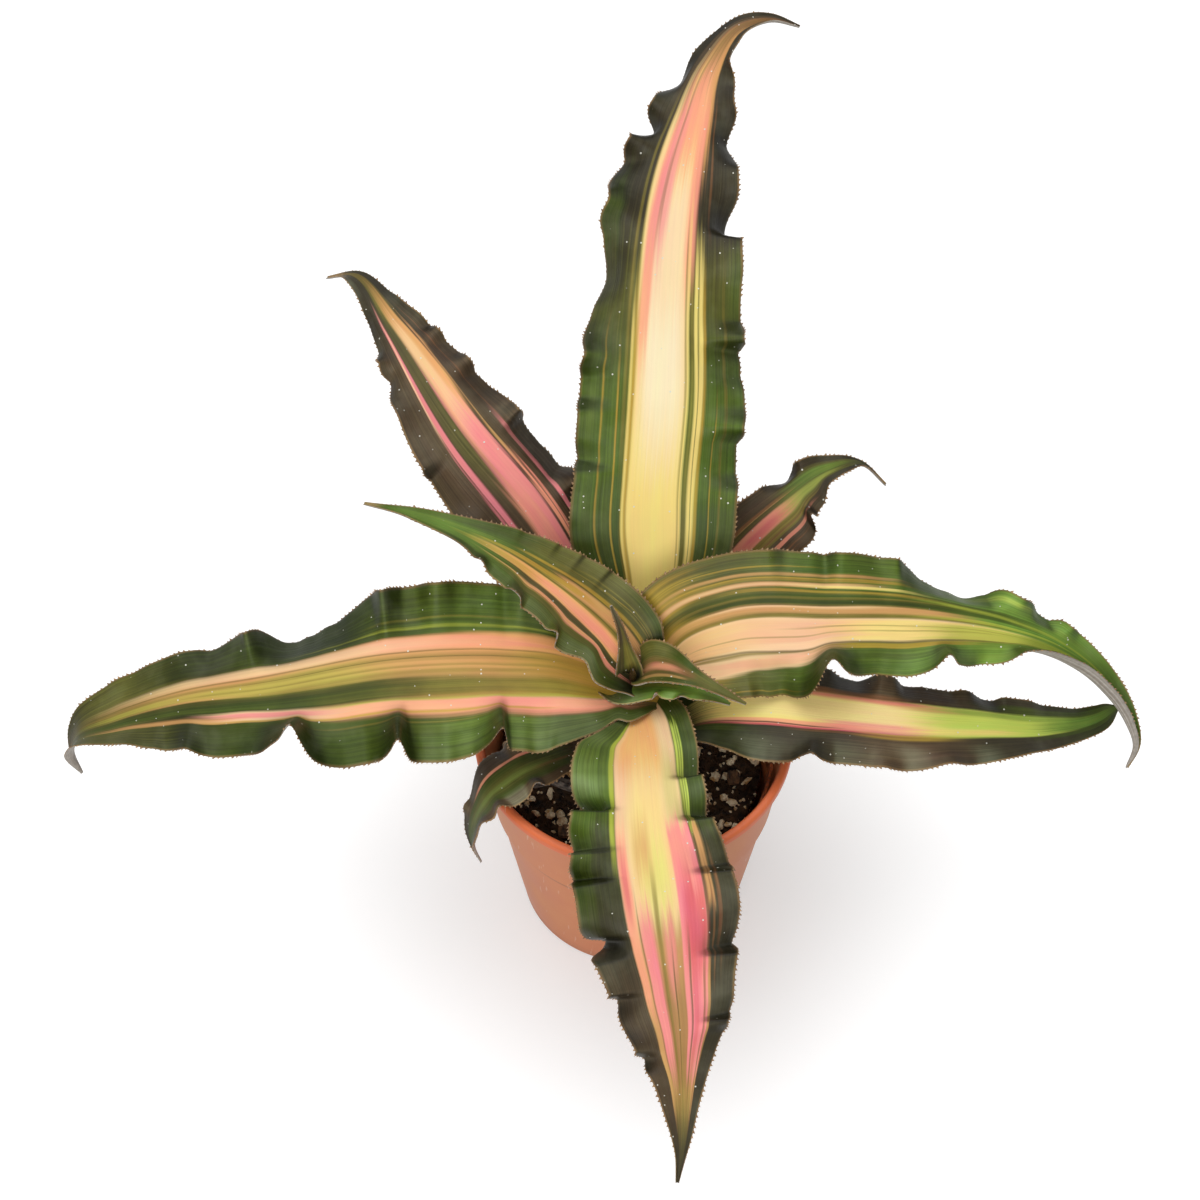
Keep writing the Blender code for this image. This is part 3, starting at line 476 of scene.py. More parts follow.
# Each leaf: midrib points; then, against percent of the length, half-widths left and right of it, cupping
# and roll in degrees, and the tilt of each margin's ruffles, up positive. Its paint: the tone of the
# margins from a percent of the length on, and stripes as (tone, from, to across, from, to along, drift,
# strength, edge, fade), all in hundredths: across runs from -100 at the right margin to 100 at the left.
leaves = {
    "leaf_back": {
        "path": [(2, 8, 80), (4, 18, 90), (6, 29, 101), (6, 43, 121), (8, 63, 140), (9, 86, 156),
            (11, 109, 169), (16, 133, 180), (21, 148, 187), (30, 157, 194), (39, 160, 194), (47, 158, 193)],
        "leftHalf": [(0, 5), (12, 17), (20, 23.5), (28, 23), (40, 23.5), (50, 22), (60, 20.3), (70, 17),
            (78, 12), (85, 7), (90, 4.2), (95, 2.2), (100, 0.4)],
        "rightHalf": [(0, 5), (12, 16), (20, 21.5), (30, 22.5), (40, 23), (50, 21.5), (60, 20), (70, 16.5),
            (80, 11.3), (86, 8), (90, 5.4), (95, 3.3), (100, 0.4)],
        "cup": [(0, 70), (15, 20), (60, 8), (85, 20), (100, 75)],
        "roll": [(0, 0), (80, 0), (100, -30)],
        "leftWave": [(20, 5), (28.5, 12), (30, -22), (33, 6), (36, 8), (39, -20), (41, -20), (44, 18),
            (47.5, -25), (50, -38), (55, -66), (60, -48), (63.5, 22), (66.5, -12), (70, -38), (72.2, 18),
            (75, -75), (78.5, 18), (82.5, -75), (86, -35), (90, -50), (95, 0)],
        "rightWave": [(20, 0), (27, 10), (30, -22), (33.5, -28), (35.8, 22), (38.5, -8), (43, -24),
            (45.5, -30), (46.8, 22), (50, -18), (54, -16), (58, 8), (60.7, 8), (62.7, -58), (65, -50),
            (68, -15), (70.5, 0), (73.5, -40), (75.5, -62), (77.5, -45), (80, 14), (84, -10), (86.5, 35),
            (90, 10)],
        "margins": [("leaf", 0), ("fern", 25), ("leaf", 42), ("moss", 48), ("charcoal", 56)],
        "stripes": [
            ("yellow", -29, 37, 0, 97), ("peach", -27, 34, 34, 55, 0, 70, 3, 10),
            ("cream", -20, 25, 33, 72, 0, 85, 8, 8), ("peach", -27, 36, 50, 95, 0, 60),
            ("orange", -42, 30, 70, 93, -10, 75, 5, 6), ("salmon", 24, 37, 44, 82, -10, 85),
            ("pink", 12, 35, 58, 80, -15, 75, 5), ("salmon", -34, -20, 54, 80, -5, 85, 4),
            ("salmon", -25, 10, 72, 86, -10, 70, 8), ("darkOlive", 20, 24, 60, 88, -18, 45, 1.8),
            ("olive", 34.5, 37, 10, 50, 0, 70, 1.8), ("gold", 37, 44, 5, 50, -4, 85, 3, 10),
            ("yellow", 39.5, 42, 5, 50, 0, 70, 1.8), ("olive", 44, 48, 30, 80, 0, 60),
            ("olive", -27, -24.5, 5, 62, 0, 70, 1.8), ("yellow", -30.5, -27, 5, 65, 0, 50, 2),
            ("olive", -37, -32, 5, 55, 0, 55), ("yellow", -47, -38, 5, 58, 0, 85, 2),
            ("moss", -43.5, -42, 10, 60, 0, 80, 1.8), ("gold", -51, -47, 10, 55, 0, 70, 1.5),
            ("gold", 70, 72.5, 5, 47, 0, 75, 1.8), ("gold", 53, 55.5, 5, 42, 0, 80, 1.8),
            ("gold", -67, -65, 10, 38, 0, 70, 1.8), ("olive", -79, -76, 10, 55, 0, 60, 1.8),
            ("brown", -57, -54, 62, 78, 2, 70, 1.8), ("olive", -30, 15, 86, 100, 0, 70, 10, 4),
            ("charcoal", -100, 100, 93, 110, 0, 80), ("fern", 75, 110, 60, 67, 0, 60, 12, 4),
            ("fern", -110, -80, 50, 58, 0, 50, 12, 4), ("umber", 20, 60, 80, 110, -6, 85, 5, 9),
            ("brown", -30, 25, 85, 110, 0, 70, 6, 7)],
    },
    "leaf_left": {
        "path": [(9, -2, 87), (3, -2, 91), (-8, -1, 94.5), (-21, 0, 98.5), (-37, -1, 101), (-66, -3, 102),
            (-103, -6, 97), (-125, -4, 90), (-145, -3, 80), (-157, -2, 71), (-159, -2, 63), (-157, -4, 57)],
        "hinge": 14,
        "leftHalf": [(0, 3), (2.5, 4.5), (4, 8), (6, 11.5), (7.5, 11.3), (9, 14), (11, 17), (14, 20.5),
            (18, 23), (26, 23), (33, 24.8), (45, 23.5), (50, 23.5), (54, 21.5), (58, 19.3), (62, 16.8),
            (68, 16), (72, 13.8), (78, 11.4), (82, 9), (88, 6.1), (95, 3.9), (100, 0.4)],
        "rightHalf": [(0, 8), (8, 14), (16, 20), (24, 23.5), (40, 23.5), (52, 20), (62, 17), (71, 14.3),
            (80, 12), (84, 11.2), (88, 9.4), (92, 6.5), (95, 4), (100, 0.4)],
        "cup": [(0, 30), (15, 25), (60, 8), (85, 20), (100, 80)],
        "roll": [(0, 0), (25, -22), (70, -22), (100, 0)],
        "leftWave": [(16.5, -15), (22, -14), (24.3, -8), (25.6, 32), (27.5, 10), (30, -12), (33.5, -20),
            (37, -16), (38.8, -6), (40.2, 36), (42, 16), (44, -4), (46.5, -16), (49, -16), (51.5, -6),
            (53.2, 12), (54.8, 66), (56.7, 46), (59, 28), (61.5, 5), (65, -15), (68.5, -10), (71, 14),
            (73.5, 2), (75.5, -8), (77, 6), (81, 12), (86, 10)],
        "rightWave": [(16.5, -8), (22, 10), (25, -8), (30, -8), (33, 6), (34.5, 10), (37, -8), (38.5, -10),
            (40, 2), (41.3, 16), (42.8, -16), (45, -32), (47.5, -42), (50, -50), (54, -57), (56.5, -52),
            (59, -26), (61, 20), (62.5, 4), (65, -14), (68.5, -24), (70.5, -6), (72.5, 10), (77, 6),
            (87, 0), (92, -7)],
        "margins": [("leaf", 0), ("fern", 20), ("leaf", 34), ("bottle", 66), ("moss", 78),
            ("charcoal", 93)],
        "stripes": [
            ("gold", -42, 30, 0, 50), ("tan", -36, 10, 16, 80, 0, 95, 4, 12),
            ("gold", -30, 10, 2, 25, 0, 50, 8, 10), ("orange", -50, -28, 0, 31, 6, 90),
            ("salmon", -42, -27, 20, 44, 0, 80, 4), ("peach", -40, -26, 37, 80, -2, 75, 4, 12),
            ("olive", -46, 5, 66, 97, 0, 20, 8, 12), ("peach", 32, 50, 9, 67, -6, 90),
            ("salmon", 34, 58, 6, 50, -12, 75, 5), ("pink", 33, 44, 20, 29, 0, 30, 4),
            ("pink", 30, 38, 52, 68, 0, 80, 2), ("limeLine", 27, 31, 12, 50, 0, 70, 1.8),
            ("gold", 45, 49, 18, 69, -4, 80, 1.8), ("tan", 36, 46, 64, 86, -4, 70),
            ("olive", 8, 27, 12, 47, 0, 80), ("moss", 6, 24, 24, 42, 0, 60, 4, 10),
            ("leaf", 6, 30, 38, 90, -7, 90, 3, 8), ("bottle", 8, 20, 40, 85, -6, 50, 5, 10),
            ("limeLine", -20, 4, 44, 64, 0, 60, 6, 8), ("limeLine", -14, -2, 60, 88, 0, 45, 4, 8),
            ("olive", -19, -14, 16, 90, 0, 60), ("olive", -9, -6, 16, 71, 0, 50),
            ("olive", -2, 4, 20, 62, 0, 60), ("darkOlive", -26, -23.5, 16, 87, 0, 60, 1.6),
            ("darkOlive", -16.5, -15.5, 20, 60, 0, 50, 1.8), ("limeLine", -54, -51, 16, 52, 0, 50, 1.6),
            ("olive", -63, -61, 23, 42, 0, 40, 1.4), ("olive", 56, 58, 18, 52, 0, 40, 1.4),
            ("charcoal", -100, 100, 90, 120, 0, 60, 2, 8), ("straw", -100, 100, 96.5, 120, 0, 70, 2, 2)],
    },
    "leaf_right": {
        "path": [(6, 3, 83), (13, 11, 97), (26, 12, 105), (54, 11, 108), (80, 13, 105), (103, 15, 98),
            (119, 16, 89), (132, 14, 78), (141, 9, 66), (144, 5, 57), (142, 2, 51)],
        "leftHalf": [(0, 5), (5, 14), (10, 18), (20, 19), (30, 18.7), (40, 17.8), (50, 14.8), (55, 12.5),
            (60, 11.3), (65, 9.5), (72, 7.2), (80, 4.8), (90, 2.6), (100, 0.4)],
        "rightHalf": [(0, 4), (6, 12), (12, 18), (20, 22), (26, 23), (31, 20.5), (33.5, 16.5), (36, 15.4),
            (40, 15.4), (46, 15.7), (50, 13.7), (56, 11.4), (62, 9), (65, 7.2), (72, 5.5), (80, 4.6),
            (90, 3.2), (96, 1.8), (100, 0.4)],
        "cup": [(0, 70), (15, 20), (60, 8), (80, 45), (100, 80)],
        "roll": [(0, 0), (30, 5), (70, 5), (100, 0)],
        "leftWave": [(20, 5), (24.5, 10), (27, -8), (30, -8), (33, -14), (35.5, 5), (38.5, -4), (41.5, -12),
            (44, -6), (46, -32), (50, -60), (53, -70), (56, -80), (59, -60), (61.3, 8), (63, 20),
            (65.5, -12), (68, -55), (70, -62), (72.2, 14), (75, -25), (80, -20)],
        "rightWave": [(10, -10), (20, -30), (27, -26), (29.5, -6), (31.5, 30), (33.7, 78), (36, 40),
            (38.5, 8), (42, -14), (45, -10), (47.5, 4), (49.5, 32), (51.5, 72), (54, 36), (56.5, 8),
            (59.5, -10), (62, 10), (65, 68), (72, 85), (80, 92), (90, 88), (97, 60)],
        "hinge": 20,
        "margins": [("moss", 0), ("fern", 25), ("grass", 50), ("fern", 80), ("leaf", 95)],
        "stripes": [
            ("gold", -82, 95, 0, 13), ("peach", -38, 4, 0, 55), ("yellow", -36, 0, 34, 66, 0, 80),
            ("limeLine", -38, -4, 50, 78, 0, 75, 4), ("orange", -40, 2, 0, 20, 0, 50, 8, 10),
            ("salmon", -30, 0, 20, 38, 0, 25, 6), ("peach", -82, -50, 3, 34, 30, 90),
            ("salmon", -74, -60, 14, 32, 26, 50, 4, 8), ("olive", -50, -46, 5, 30, 9, 80, 1.8),
            ("darkOlive", -43, -40, 5, 70, 6, 75, 1.8), ("gold", -52, -42, 34, 56, 4, 75, 2),
            ("olive", -24, -22.5, 10, 60, 8, 50, 1.8), ("olive", -11.5, -10, 30, 70, 0, 60, 1.8),
            ("olive", 3, 10, 5, 62, 0, 75, 2), ("tan", 9, 21, 5, 55, 0, 85),
            ("peach", 16, 20, 16, 42, 0, 60, 1.5), ("limeLine", 6, 13, 50, 74, 0, 70, 2),
            ("leaf", 21, 42, 10, 66, 0, 85), ("olive", 29, 33, 5, 50, 0, 60, 2),
            ("bottle", 22, 28, 14, 50, 0, 60), ("moss", 36, 44, 5, 50, 0, 70, 2),
            ("tan", 48.5, 56, 5, 40, -2, 90, 2), ("peach", 50, 54.5, 10, 40, -2, 50, 2),
            ("yellow", 49, 53, 30, 47, -5, 70, 1.5), ("gold", 42, 45.5, 18, 48, -6, 60, 2),
            ("gold", 60, 64, 5, 44, -4, 80, 1.8), ("tan", 66, 70, 10, 44, -4, 70, 1.8),
            ("olive", 57, 59.5, 5, 40, 0, 70, 1.8), ("gold", 78, 80, 10, 30, 0, 70, 1.8),
            ("limeLine", 35, 42, 50, 86, -20, 60), ("lime", 72, 86, 57, 67, 0, 50, 5),
            ("gold", -93, -92, 10, 30, 0, 50, 1.8), ("straw", -100, 100, 95.5, 120, 0, 80, 2, 2)],
    },
    "leaf_lower_right": {
        "path": [(8, -3, 73), (19, -1, 81), (35, -2, 85), (54, -6, 87), (75, -7, 85), (98, -4, 79),
            (117, 1, 71), (133, 9, 65), (139, 14, 64)],
        "leftHalf": [(0, 4), (12, 11), (30, 15), (40, 14.8), (45, 13.8), (50, 13.6), (60, 11.7), (70, 9.8),
            (80, 8.2), (90, 5.4), (95, 4), (98, 2.6), (100, 0.4)],
        "rightHalf": [(0, 4), (12, 13), (30, 15.3), (35, 14), (50, 14), (60, 12), (70, 9.6), (80, 6.5),
            (90, 4.2), (96, 3), (100, 0.4)],
        "cup": [(0, 60), (15, 20), (60, 8), (85, 12), (100, 30)],
        "leftWave": [(33, -10), (37, -30), (40, -36), (42.5, -20), (45, 12), (47.5, 5), (50.5, -28),
            (55, -22), (60, -22), (63.5, -5), (68, -32), (70, -30), (72.5, 0), (77.5, 8), (83, -15),
            (90, -20)],
        "rightWave": [(15, 0), (21, -20), (29, -10), (31.5, 16), (32.8, 25), (34.5, 2), (37, -22),
            (43, -15), (45, -5), (50, -25), (57.5, 5), (64, -25), (70, -5), (76, 8), (85, 0)],
        "margins": [("bottle", 0), ("charcoal", 20), ("umber", 40), ("charcoal", 62), ("bottle", 86)],
        "stripes": [
            ("leaf", 30, 75, 70, 110, 0, 80, 6, 8), ("leaf", -50, 50, 80, 110, 0, 85, 5, 6),
            ("yellow", -24, 46, 10, 70, 0, 100), ("cream", -14, 36, 18, 50, 0, 20, 8),
            ("peach", -20, 42, 42, 58, 0, 35, 6), ("lime", -34, 44, 54, 84, 4, 95, 5, 7),
            ("grass", -20, 30, 80, 96, 4, 80, 10), ("yellow", -26, -10, 50, 72, 0, 70, 5),
            ("grass", 28, 46, 55, 95, 0, 60, 6, 8), ("rose", 38, 47, 20, 54, -2, 75),
            ("brown", 47, 61, 20, 50, -5, 70, 4), ("tan", 28, 40, 48, 60, 0, 60, 4),
            ("pink", -30, -10, 34, 52, 0, 70, 5), ("salmon", -30, -18, 12, 42, 0, 85, 2),
            ("umber", -27.5, -24.5, 10, 36, 0, 90, 1.8), ("rose", -33, -29, 10, 42, 0, 80, 1.5),
            ("gold", -42, -28, 42, 58, 0, 60), ("leaf", -50, -30, 5, 16, 0, 70),
            ("brown", -38, -33, 30, 50, 0, 60, 2)],
    },
    "leaf_front": {
        "path": [(0, 0, 86), (0.5, -7, 89.5), (1.5, -14, 92), (2.5, -23, 93.5), (3, -33, 94), (4, -47, 90),
            (7, -69, 76), (9, -81, 67), (11, -93, 58), (12, -106, 50), (12, -116, 42), (11, -123, 37)],
        "hinge": 22,
        "leftHalf": [(0, 9), (7, 13), (15, 14.3), (23, 15), (29, 16), (34, 17.5), (40, 20), (45, 21.2),
            (53, 21), (62, 18), (72, 13.8), (76, 10.2), (81, 6.8), (86, 4.5), (91, 2.8), (95, 1.5),
            (100, 0.4)],
        "rightHalf": [(0, 4), (5, 4.5), (9.5, 6.5), (11.5, 9.5), (13.5, 13), (15.5, 17.2), (19, 19.4),
            (25, 20.3), (34, 21.8), (43, 22.4), (53, 21), (58, 19), (62, 17.2), (67, 15.6), (72, 12.6),
            (76, 11), (81, 7.2), (86, 5), (91, 3), (95, 1.5), (100, 0.4)],
        "cup": [(0, 40), (15, 15), (60, 8), (85, 20), (100, 60)],
        "leftWave": [(15, -5), (23, -30), (24.5, 14), (31.5, -28), (33, 14), (42, -18), (43.5, 18), (47, 8),
            (54.5, -20), (57.5, -32), (59, 15), (66, 8), (70, -18), (71, 18), (73.5, -25), (79, -8),
            (86, 5)],
        "rightWave": [(17, 10), (22.5, 0), (26, -32), (29.1, -70), (30.2, 16), (36.5, -28), (37.5, 18),
            (42, -22), (43, 12), (49, 5), (53, -30), (54, -66), (55.5, -58), (57.5, 5), (63.5, 14),
            (65, -48), (70, -20), (75, 12), (76.5, -52), (80, -10)],
        "margins": [("leaf", 0), ("fern", 16), ("leaf", 36), ("slate", 50), ("charcoal", 72)],
        "stripes": [
            ("charcoal", 60, 110, 32, 110, 0, 85), ("bottle", 60, 110, 15, 34, 0, 60),
            ("charcoal", -75, -40, 31, 62, 0, 70, 8), ("umber", -110, -40, 60, 110, 0, 70, 6),
            ("peach", -42, 56, -10, 53), ("orange", -40, 30, -5, 22, 0, 90, 10),
            ("yellow", -24, 26, 21, 50, 0, 60, 14, 10), ("limeLine", 30, 55, 19, 33, 0, 35, 8),
            ("lime", -14, 16, 37, 50, 0, 40, 10, 6), ("tan", -22, -5, 33, 42, 0, 70, 4),
            ("tan", -42, 60, 53, 87, 0, 85), ("brown", -14, 30, 60, 85, 0, 55, 6, 8),
            ("pink", 24, 60, 33, 81, 0, 95, 2, 2), ("rose", 30, 60, 44, 60, 0, 80, 5),
            ("rose", 36, 46, 43, 81, 0, 60), ("salmon", 20, 50, 34, 42, 0, 50, 8),
            ("pink", -28, -10, 49, 81, 0, 90), ("pink", 2, 14, 51, 64, 0, 60),
            ("salmon", -42, -31, 34, 66, 0, 80, 2), ("rose", -40, -34, 38, 49, 0, 60, 2),
            ("darkOlive", 32, 34.5, 55, 87, 0, 75, 1.8), ("olive", -6, -2, 43, 87, 0, 70, 1.8),
            ("darkOlive", 8, 10, 58, 87, 0, 65, 1.8), ("darkOlive", -30, -28, 48, 81, 0, 60, 1.8),
            ("brown", 52, 56, 58, 87, 0, 75, 1.5), ("tan", 60, 63, 58, 76, 0, 70, 1.8),
            ("lime", 59, 71, 11, 34, 0, 90, 1.5, 1.5), ("leaf", 61.5, 64.5, 11, 34, 0, 80, 2, 2),
            ("fern", 66, 69, 11, 32, 0, 70, 2, 2), ("tan", 63, 73, 33, 49, 0, 80, 2, 2),
            ("darkOlive", 58.5, 61, 25, 53, 0, 80, 1.8), ("brown", 76, 79, 40, 58, 0, 70, 1.8),
            ("brown", 69, 71, 43, 62, 0, 70, 1.8), ("limeLine", -50, -44, 10, 40, 0, 85, 2),
            ("olive", -30, 50, 79, 97, 0, 60, 10, 8), ("charcoal", -110, 110, 91, 110, 0, 80)],
    },
    "leaf_back_left": {
        "path": [(-6, 6, 72), (-14, 33, 92), (-24, 44, 106), (-49, 65, 127), (-69, 93, 138),
            (-81, 114, 138), (-89, 120, 131)],
        "leftHalf": [(0, 4), (12, 12), (30, 17.5), (40, 18), (50, 17), (60, 14), (70, 10), (80, 5.7),
            (86, 3.9), (93, 2.4), (96, 0.9), (100, 0.4)],
        "rightHalf": [(0, 4), (12, 12), (30, 16), (50, 16.5), (60, 14.9), (70, 12), (80, 7.7), (85, 5.2),
            (90, 3), (94, 1.2), (100, 0.4)],
        "cup": [(0, 60), (15, 20), (60, 8), (85, 15), (100, 60)],
        "leftWave": [(30, -5), (42, 15), (47.5, -20), (52.5, -35), (54.5, 12), (60, 8), (63, 18), (65, 8),
            (70, -52), (73, 16), (76, -45), (80, -50), (86, -30), (90, -20)],
        "rightWave": [(30, 0), (35, -25), (37.2, 20), (40, -40), (47, -42), (50, -34), (52, 15),
            (54.5, -10), (60, -35), (63, -38), (65.5, 0), (68, -25), (71, -28), (72.8, 8), (75, -25),
            (77.5, 12), (82, 8), (86, -30)],
        "margins": [("bottle", 0), ("umber", 30), ("umber", 55), ("charcoal", 75)],
        "stripes": [
            ("pink", -16, 22, 20, 66, -26, 100, 2.5), ("salmon", -10, 20, 20, 42, -5, 60, 4),
            ("orange", -45, -6, 60, 86, 2, 85, 3, 6), ("peach", -30, -5, 58, 78, 0, 60, 5),
            ("salmon", 5, 12, 40, 66, -22, 55, 2), ("tan", -28, -25, 30, 78, -28, 80, 1.8),
            ("umber", -20, -16.5, 25, 66, -30, 90, 1.8), ("salmon", -33, -23, 28, 46, -12, 80, 1.5),
            ("umber", -30, -28, 30, 60, -20, 80, 1.8), ("pink", -56, -47, 30, 52, -15, 90, 1.5),
            ("pink", 42, 55, 20, 80, -22, 85, 2), ("umber", 47.5, 49.5, 30, 72, -13, 85, 1.8),
            ("peach", 42, 46, 58, 80, -20, 70, 1.5), ("moss", 0, 30, 45, 82, -10, 55, 6, 8),
            ("brown", -70, -68, 50, 80, 0, 50, 1.8), ("olive", -50, 10, 80, 98, 0, 50, 8),
            ("straw", -100, 100, 95.5, 120, 0, 80, 2, 2)],
    },
    "leaf_back_right": {
        "path": [(7, 5, 72), (17, 34, 84), (29, 46, 98), (43, 55, 107), (56, 63, 111), (66, 69, 107),
            (73, 68, 99)],
        "leftHalf": [(0, 4), (12, 9), (30, 10.5), (50, 9), (60, 7.2), (70, 6.8), (75, 6.6), (80, 4.4),
            (85, 2.6), (90, 0.8), (100, 0.4)],
        "rightHalf": [(0, 4), (12, 9), (30, 13), (50, 14.5), (60, 14), (66, 12.8), (70, 8.5), (73.5, 7),
            (76.5, 4), (80, 2.8), (86, 1.9), (90, 0.8), (100, 0.4)],
        "cup": [(0, 60), (15, 20), (60, 8), (85, 15), (100, 60)],
        "leftWave": [(55, 0), (62, 12), (64.5, -30), (69, -78), (71.5, -50), (74, 25), (80, 5)],
        "rightWave": [(50, -5), (60, -12), (66.5, -15), (68, 60), (70, -20), (73.5, -15), (77, 20),
            (82, 5)],
        "margins": [("umber", 0), ("umber", 50), ("charcoal", 72)],
        "stripes": [
            ("salmon", -31, -1, 30, 68, 0, 90), ("rose", -28, -12, 50, 66, 0, 60, 4),
            ("darkOlive", 2, 20, 30, 70, 0, 70), ("brown", 20, 29, 30, 70, -2, 80, 2),
            ("tan", 16, 19, 50, 72, 0, 60, 1.8), ("olive", -52, -30, 30, 72, 0, 80),
            ("brown", -47, -42, 40, 70, 0, 60, 2), ("salmon", -68, -58, 35, 68, 0, 85, 1.5),
            ("brown", -82, -78, 40, 66, 0, 70, 1.8), ("brown", -89, -87, 40, 60, 0, 60, 1.8),
            ("moss", -45, 60, 66, 90, 0, 70, 10), ("lime", -30, 0, 64, 80, 0, 40, 8),
            ("grass", 5, 45, 68, 84, 0, 60, 8), ("straw", -100, 100, 95.5, 120, 0, 80, 2, 2)],
    },
    "leaf_upper_left": {
        "path": [(2.5, 0, 92), (-2.5, 3, 96.5), (-9, 8, 103), (-23, 16, 115), (-35, 22, 122),
            (-49, 29, 125), (-62, 36, 124), (-75, 42, 121)],
        "leftHalf": [(0, 6), (5, 9.5), (7.5, 12.2), (10, 14.6), (12.5, 15.6), (15, 13.6), (17.5, 11.2),
            (20, 11.1), (22.5, 12.7), (25, 14.1), (27.5, 15), (30, 15.6), (33, 13.2), (36, 11.6), (42, 11),
            (45, 12), (47.5, 10.4), (50, 8.9), (54, 8.2), (59, 7), (64, 4.8), (72, 3.2), (81, 2.4),
            (90, 1.1), (100, 0.4)],
        "rightHalf": [(0, 9), (5, 13.5), (10, 16), (16, 17), (24, 16.5), (33, 14.8), (43, 12), (53, 9.3),
            (62, 6.6), (72, 4), (81, 2.4), (90, 1.1), (100, 0.4)],
        "cup": [(0, 55), (10, 55), (20, 48), (33, 38), (60, 20), (85, 40), (100, 60)],
        "leftWave": [(10, -5), (20, -18), (29, -12), (31.5, 14), (34.5, -10), (42, -15), (45.5, 22),
            (48, 15), (50, -10), (55, -12), (59, 26), (62, 5), (68, 10), (75, 0)],
        "rightWave": [(20, 0), (28, -8), (30, 5), (36, -9), (38, 5), (43, -8), (45, 5), (53, -6), (55, 5),
            (60, 0)],
        "margins": [("leaf", 0), ("moss", 20), ("leaf", 50), ("fern", 70)],
        "stripes": [
            ("leaf", 50, 110, 10, 60, 0, 70), ("darkOlive", -85, -40, 5, 40, 0, 70, 8),
            ("orange", -23, 6, 8, 62, 6, 95, 2.5), ("salmon", -18, 3, 12, 42, 5, 90, 6),
            ("gold", -12, 10, 44, 68, 0, 60, 5), ("umber", 8, 18, 5, 50, 3, 70),
            ("salmon", 20, 33, 0, 46, 2, 85, 2), ("tan", 23, 28, 20, 60, 2, 80, 1.5),
            ("olive", 30, 37, 30, 62, 0, 70, 1.5), ("darkOlive", 33, 50, 5, 50, 0, 50, 5),
            ("olive", -34, -23, 10, 60, 10, 85, 1.5), ("darkOlive", -29, -27, 10, 60, 12, 80, 1.8),
            ("tan", -52, -33, 5, 38, 12, 85), ("gold", -41, -31, 28, 64, 14, 75, 2),
            ("gold", -62, -56, 5, 50, 16, 70, 1.8), ("olive", -70, -68, 8, 40, 10, 60, 1.8),
            ("olive", -80, -78, 8, 34, 10, 60, 1.8), ("gold", -74, -73, 8, 30, 10, 50, 1.8),
            # the near-black stripe at the base is painted shade of the hollow at the heart of the rosette
            ("grass", -50, 60, 56, 90, 0, 50, 14, 10), ("pitch", -110, 110, -20, 8, 0, 92, 2),
            ("straw", -100, 100, 95, 120, 0, 70, 2, 2)],
    },
    "leaf_front_left": {
        "path": [(-8, -4, 70), (-21, -15, 80), (-32, -22, 82), (-40, -26, 77), (-44, -28, 69),
            (-45, -30, 57), (-43, -31, 52)],
        "leftHalf": [(0, 4), (12, 6), (30, 6), (40, 7.5), (45, 7), (50, 7.8), (55, 7.5), (60, 5.5),
            (65, 6.5), (70, 5), (75, 4), (80, 3.8), (85, 3.2), (90, 1.2), (100, 0.4)],
        "rightHalf": [(0, 4), (12, 8), (30, 10), (50, 11), (60, 10.5), (65, 8.8), (70, 6.6), (75, 5.3),
            (80, 4.4), (85, 3), (90, 1.2), (100, 0.4)],
        "cup": [(0, 60), (15, 20), (60, 10), (85, 30), (100, 60)],
        "leftWave": [(30, -5), (40, -5), (44, 30), (49, -30), (55, -30), (59, 15), (64, -5), (70, 20),
            (80, 0)],
        "rightWave": [(42, 10), (47, -25), (52, -15), (60, -15), (72, -20), (75.5, 12), (80, -10)],
        "margins": [("umber", 0), ("umber", 50), ("charcoal", 80)],
        "stripes": [
            ("leaf", -45, 60, 20, 90, 0, 85, 12), ("moss", -20, 35, 30, 80, 0, 70, 10),
            ("sage", -5, 16, 34, 75, 0, 45, 8), ("brown", 5, 20, 20, 40, 0, 50, 6),
            ("salmon", -52, -43, 30, 66, 2, 85, 2), ("straw", -100, 100, 93, 120, 0, 85, 2, 2)],
    },
    "leaf_inner_right": {
        "path": [(1, 2.5, 94), (4.5, 1.8, 98), (9, -0.5, 101), (14.5, -4.2, 103), (22, -9.5, 104),
            (30, -14, 103)],
        "leftHalf": [(0, 5), (10, 8), (25, 7.2), (40, 4.8), (55, 2.6), (70, 1.6), (85, 1), (100, 0.3)],
        "rightHalf": [(0, 4), (10, 8), (25, 6.5), (40, 4.6), (55, 2.8), (70, 1.6), (85, 1), (100, 0.3)],
        "cup": [(0, 60), (15, 50), (35, 38), (60, 28), (85, 45), (100, 60)],
        "margins": [("moss", 0), ("leaf", 30), ("moss", 60)],
        "stripes": [
            ("moss", -50, 55, 5, 70, 0, 70, 10), ("brown", -30, 40, 5, 55, 0, 60, 12),
            ("salmon", -5, 22, 12, 40, 0, 60, 10, 10), ("tan", -50, -30, 10, 50, 0, 50, 5),
            ("darkOlive", -28, -12, 5, 70, 0, 80, 5), ("darkOlive", 28, 36, 5, 60, 0, 60, 4),
            # the near-black stripe at the base is painted shade of the hollow at the heart of the rosette
            ("pitch", -110, 110, -20, 5, 0, 90, 2)],
    },
    "leaf_inner_front": {
        "path": [(-9, 3.5, 90.5), (-4, 0.8, 92.5), (3, -1, 95), (12, -4, 98), (19, -7, 98.5),
            (26, -10, 97.5)],
        "leftHalf": [(0, 4), (12, 6), (30, 6), (50, 5), (70, 4), (85, 2), (100, 0.4)],
        "rightHalf": [(0, 3.5), (6, 6.5), (12, 8), (20, 8.6), (30, 8), (40, 6.6), (50, 5.6), (60, 5),
            (70, 4), (85, 2), (100, 0.4)],
        "cup": [(0, 50), (12, 45), (25, 30), (60, 20), (85, 30), (100, 50)],
        "rightWave": [(10, 5), (20, -20), (34, -16), (46, -6), (49.5, 30), (53, -8), (60, -22), (68, 15),
            (75, -10)],
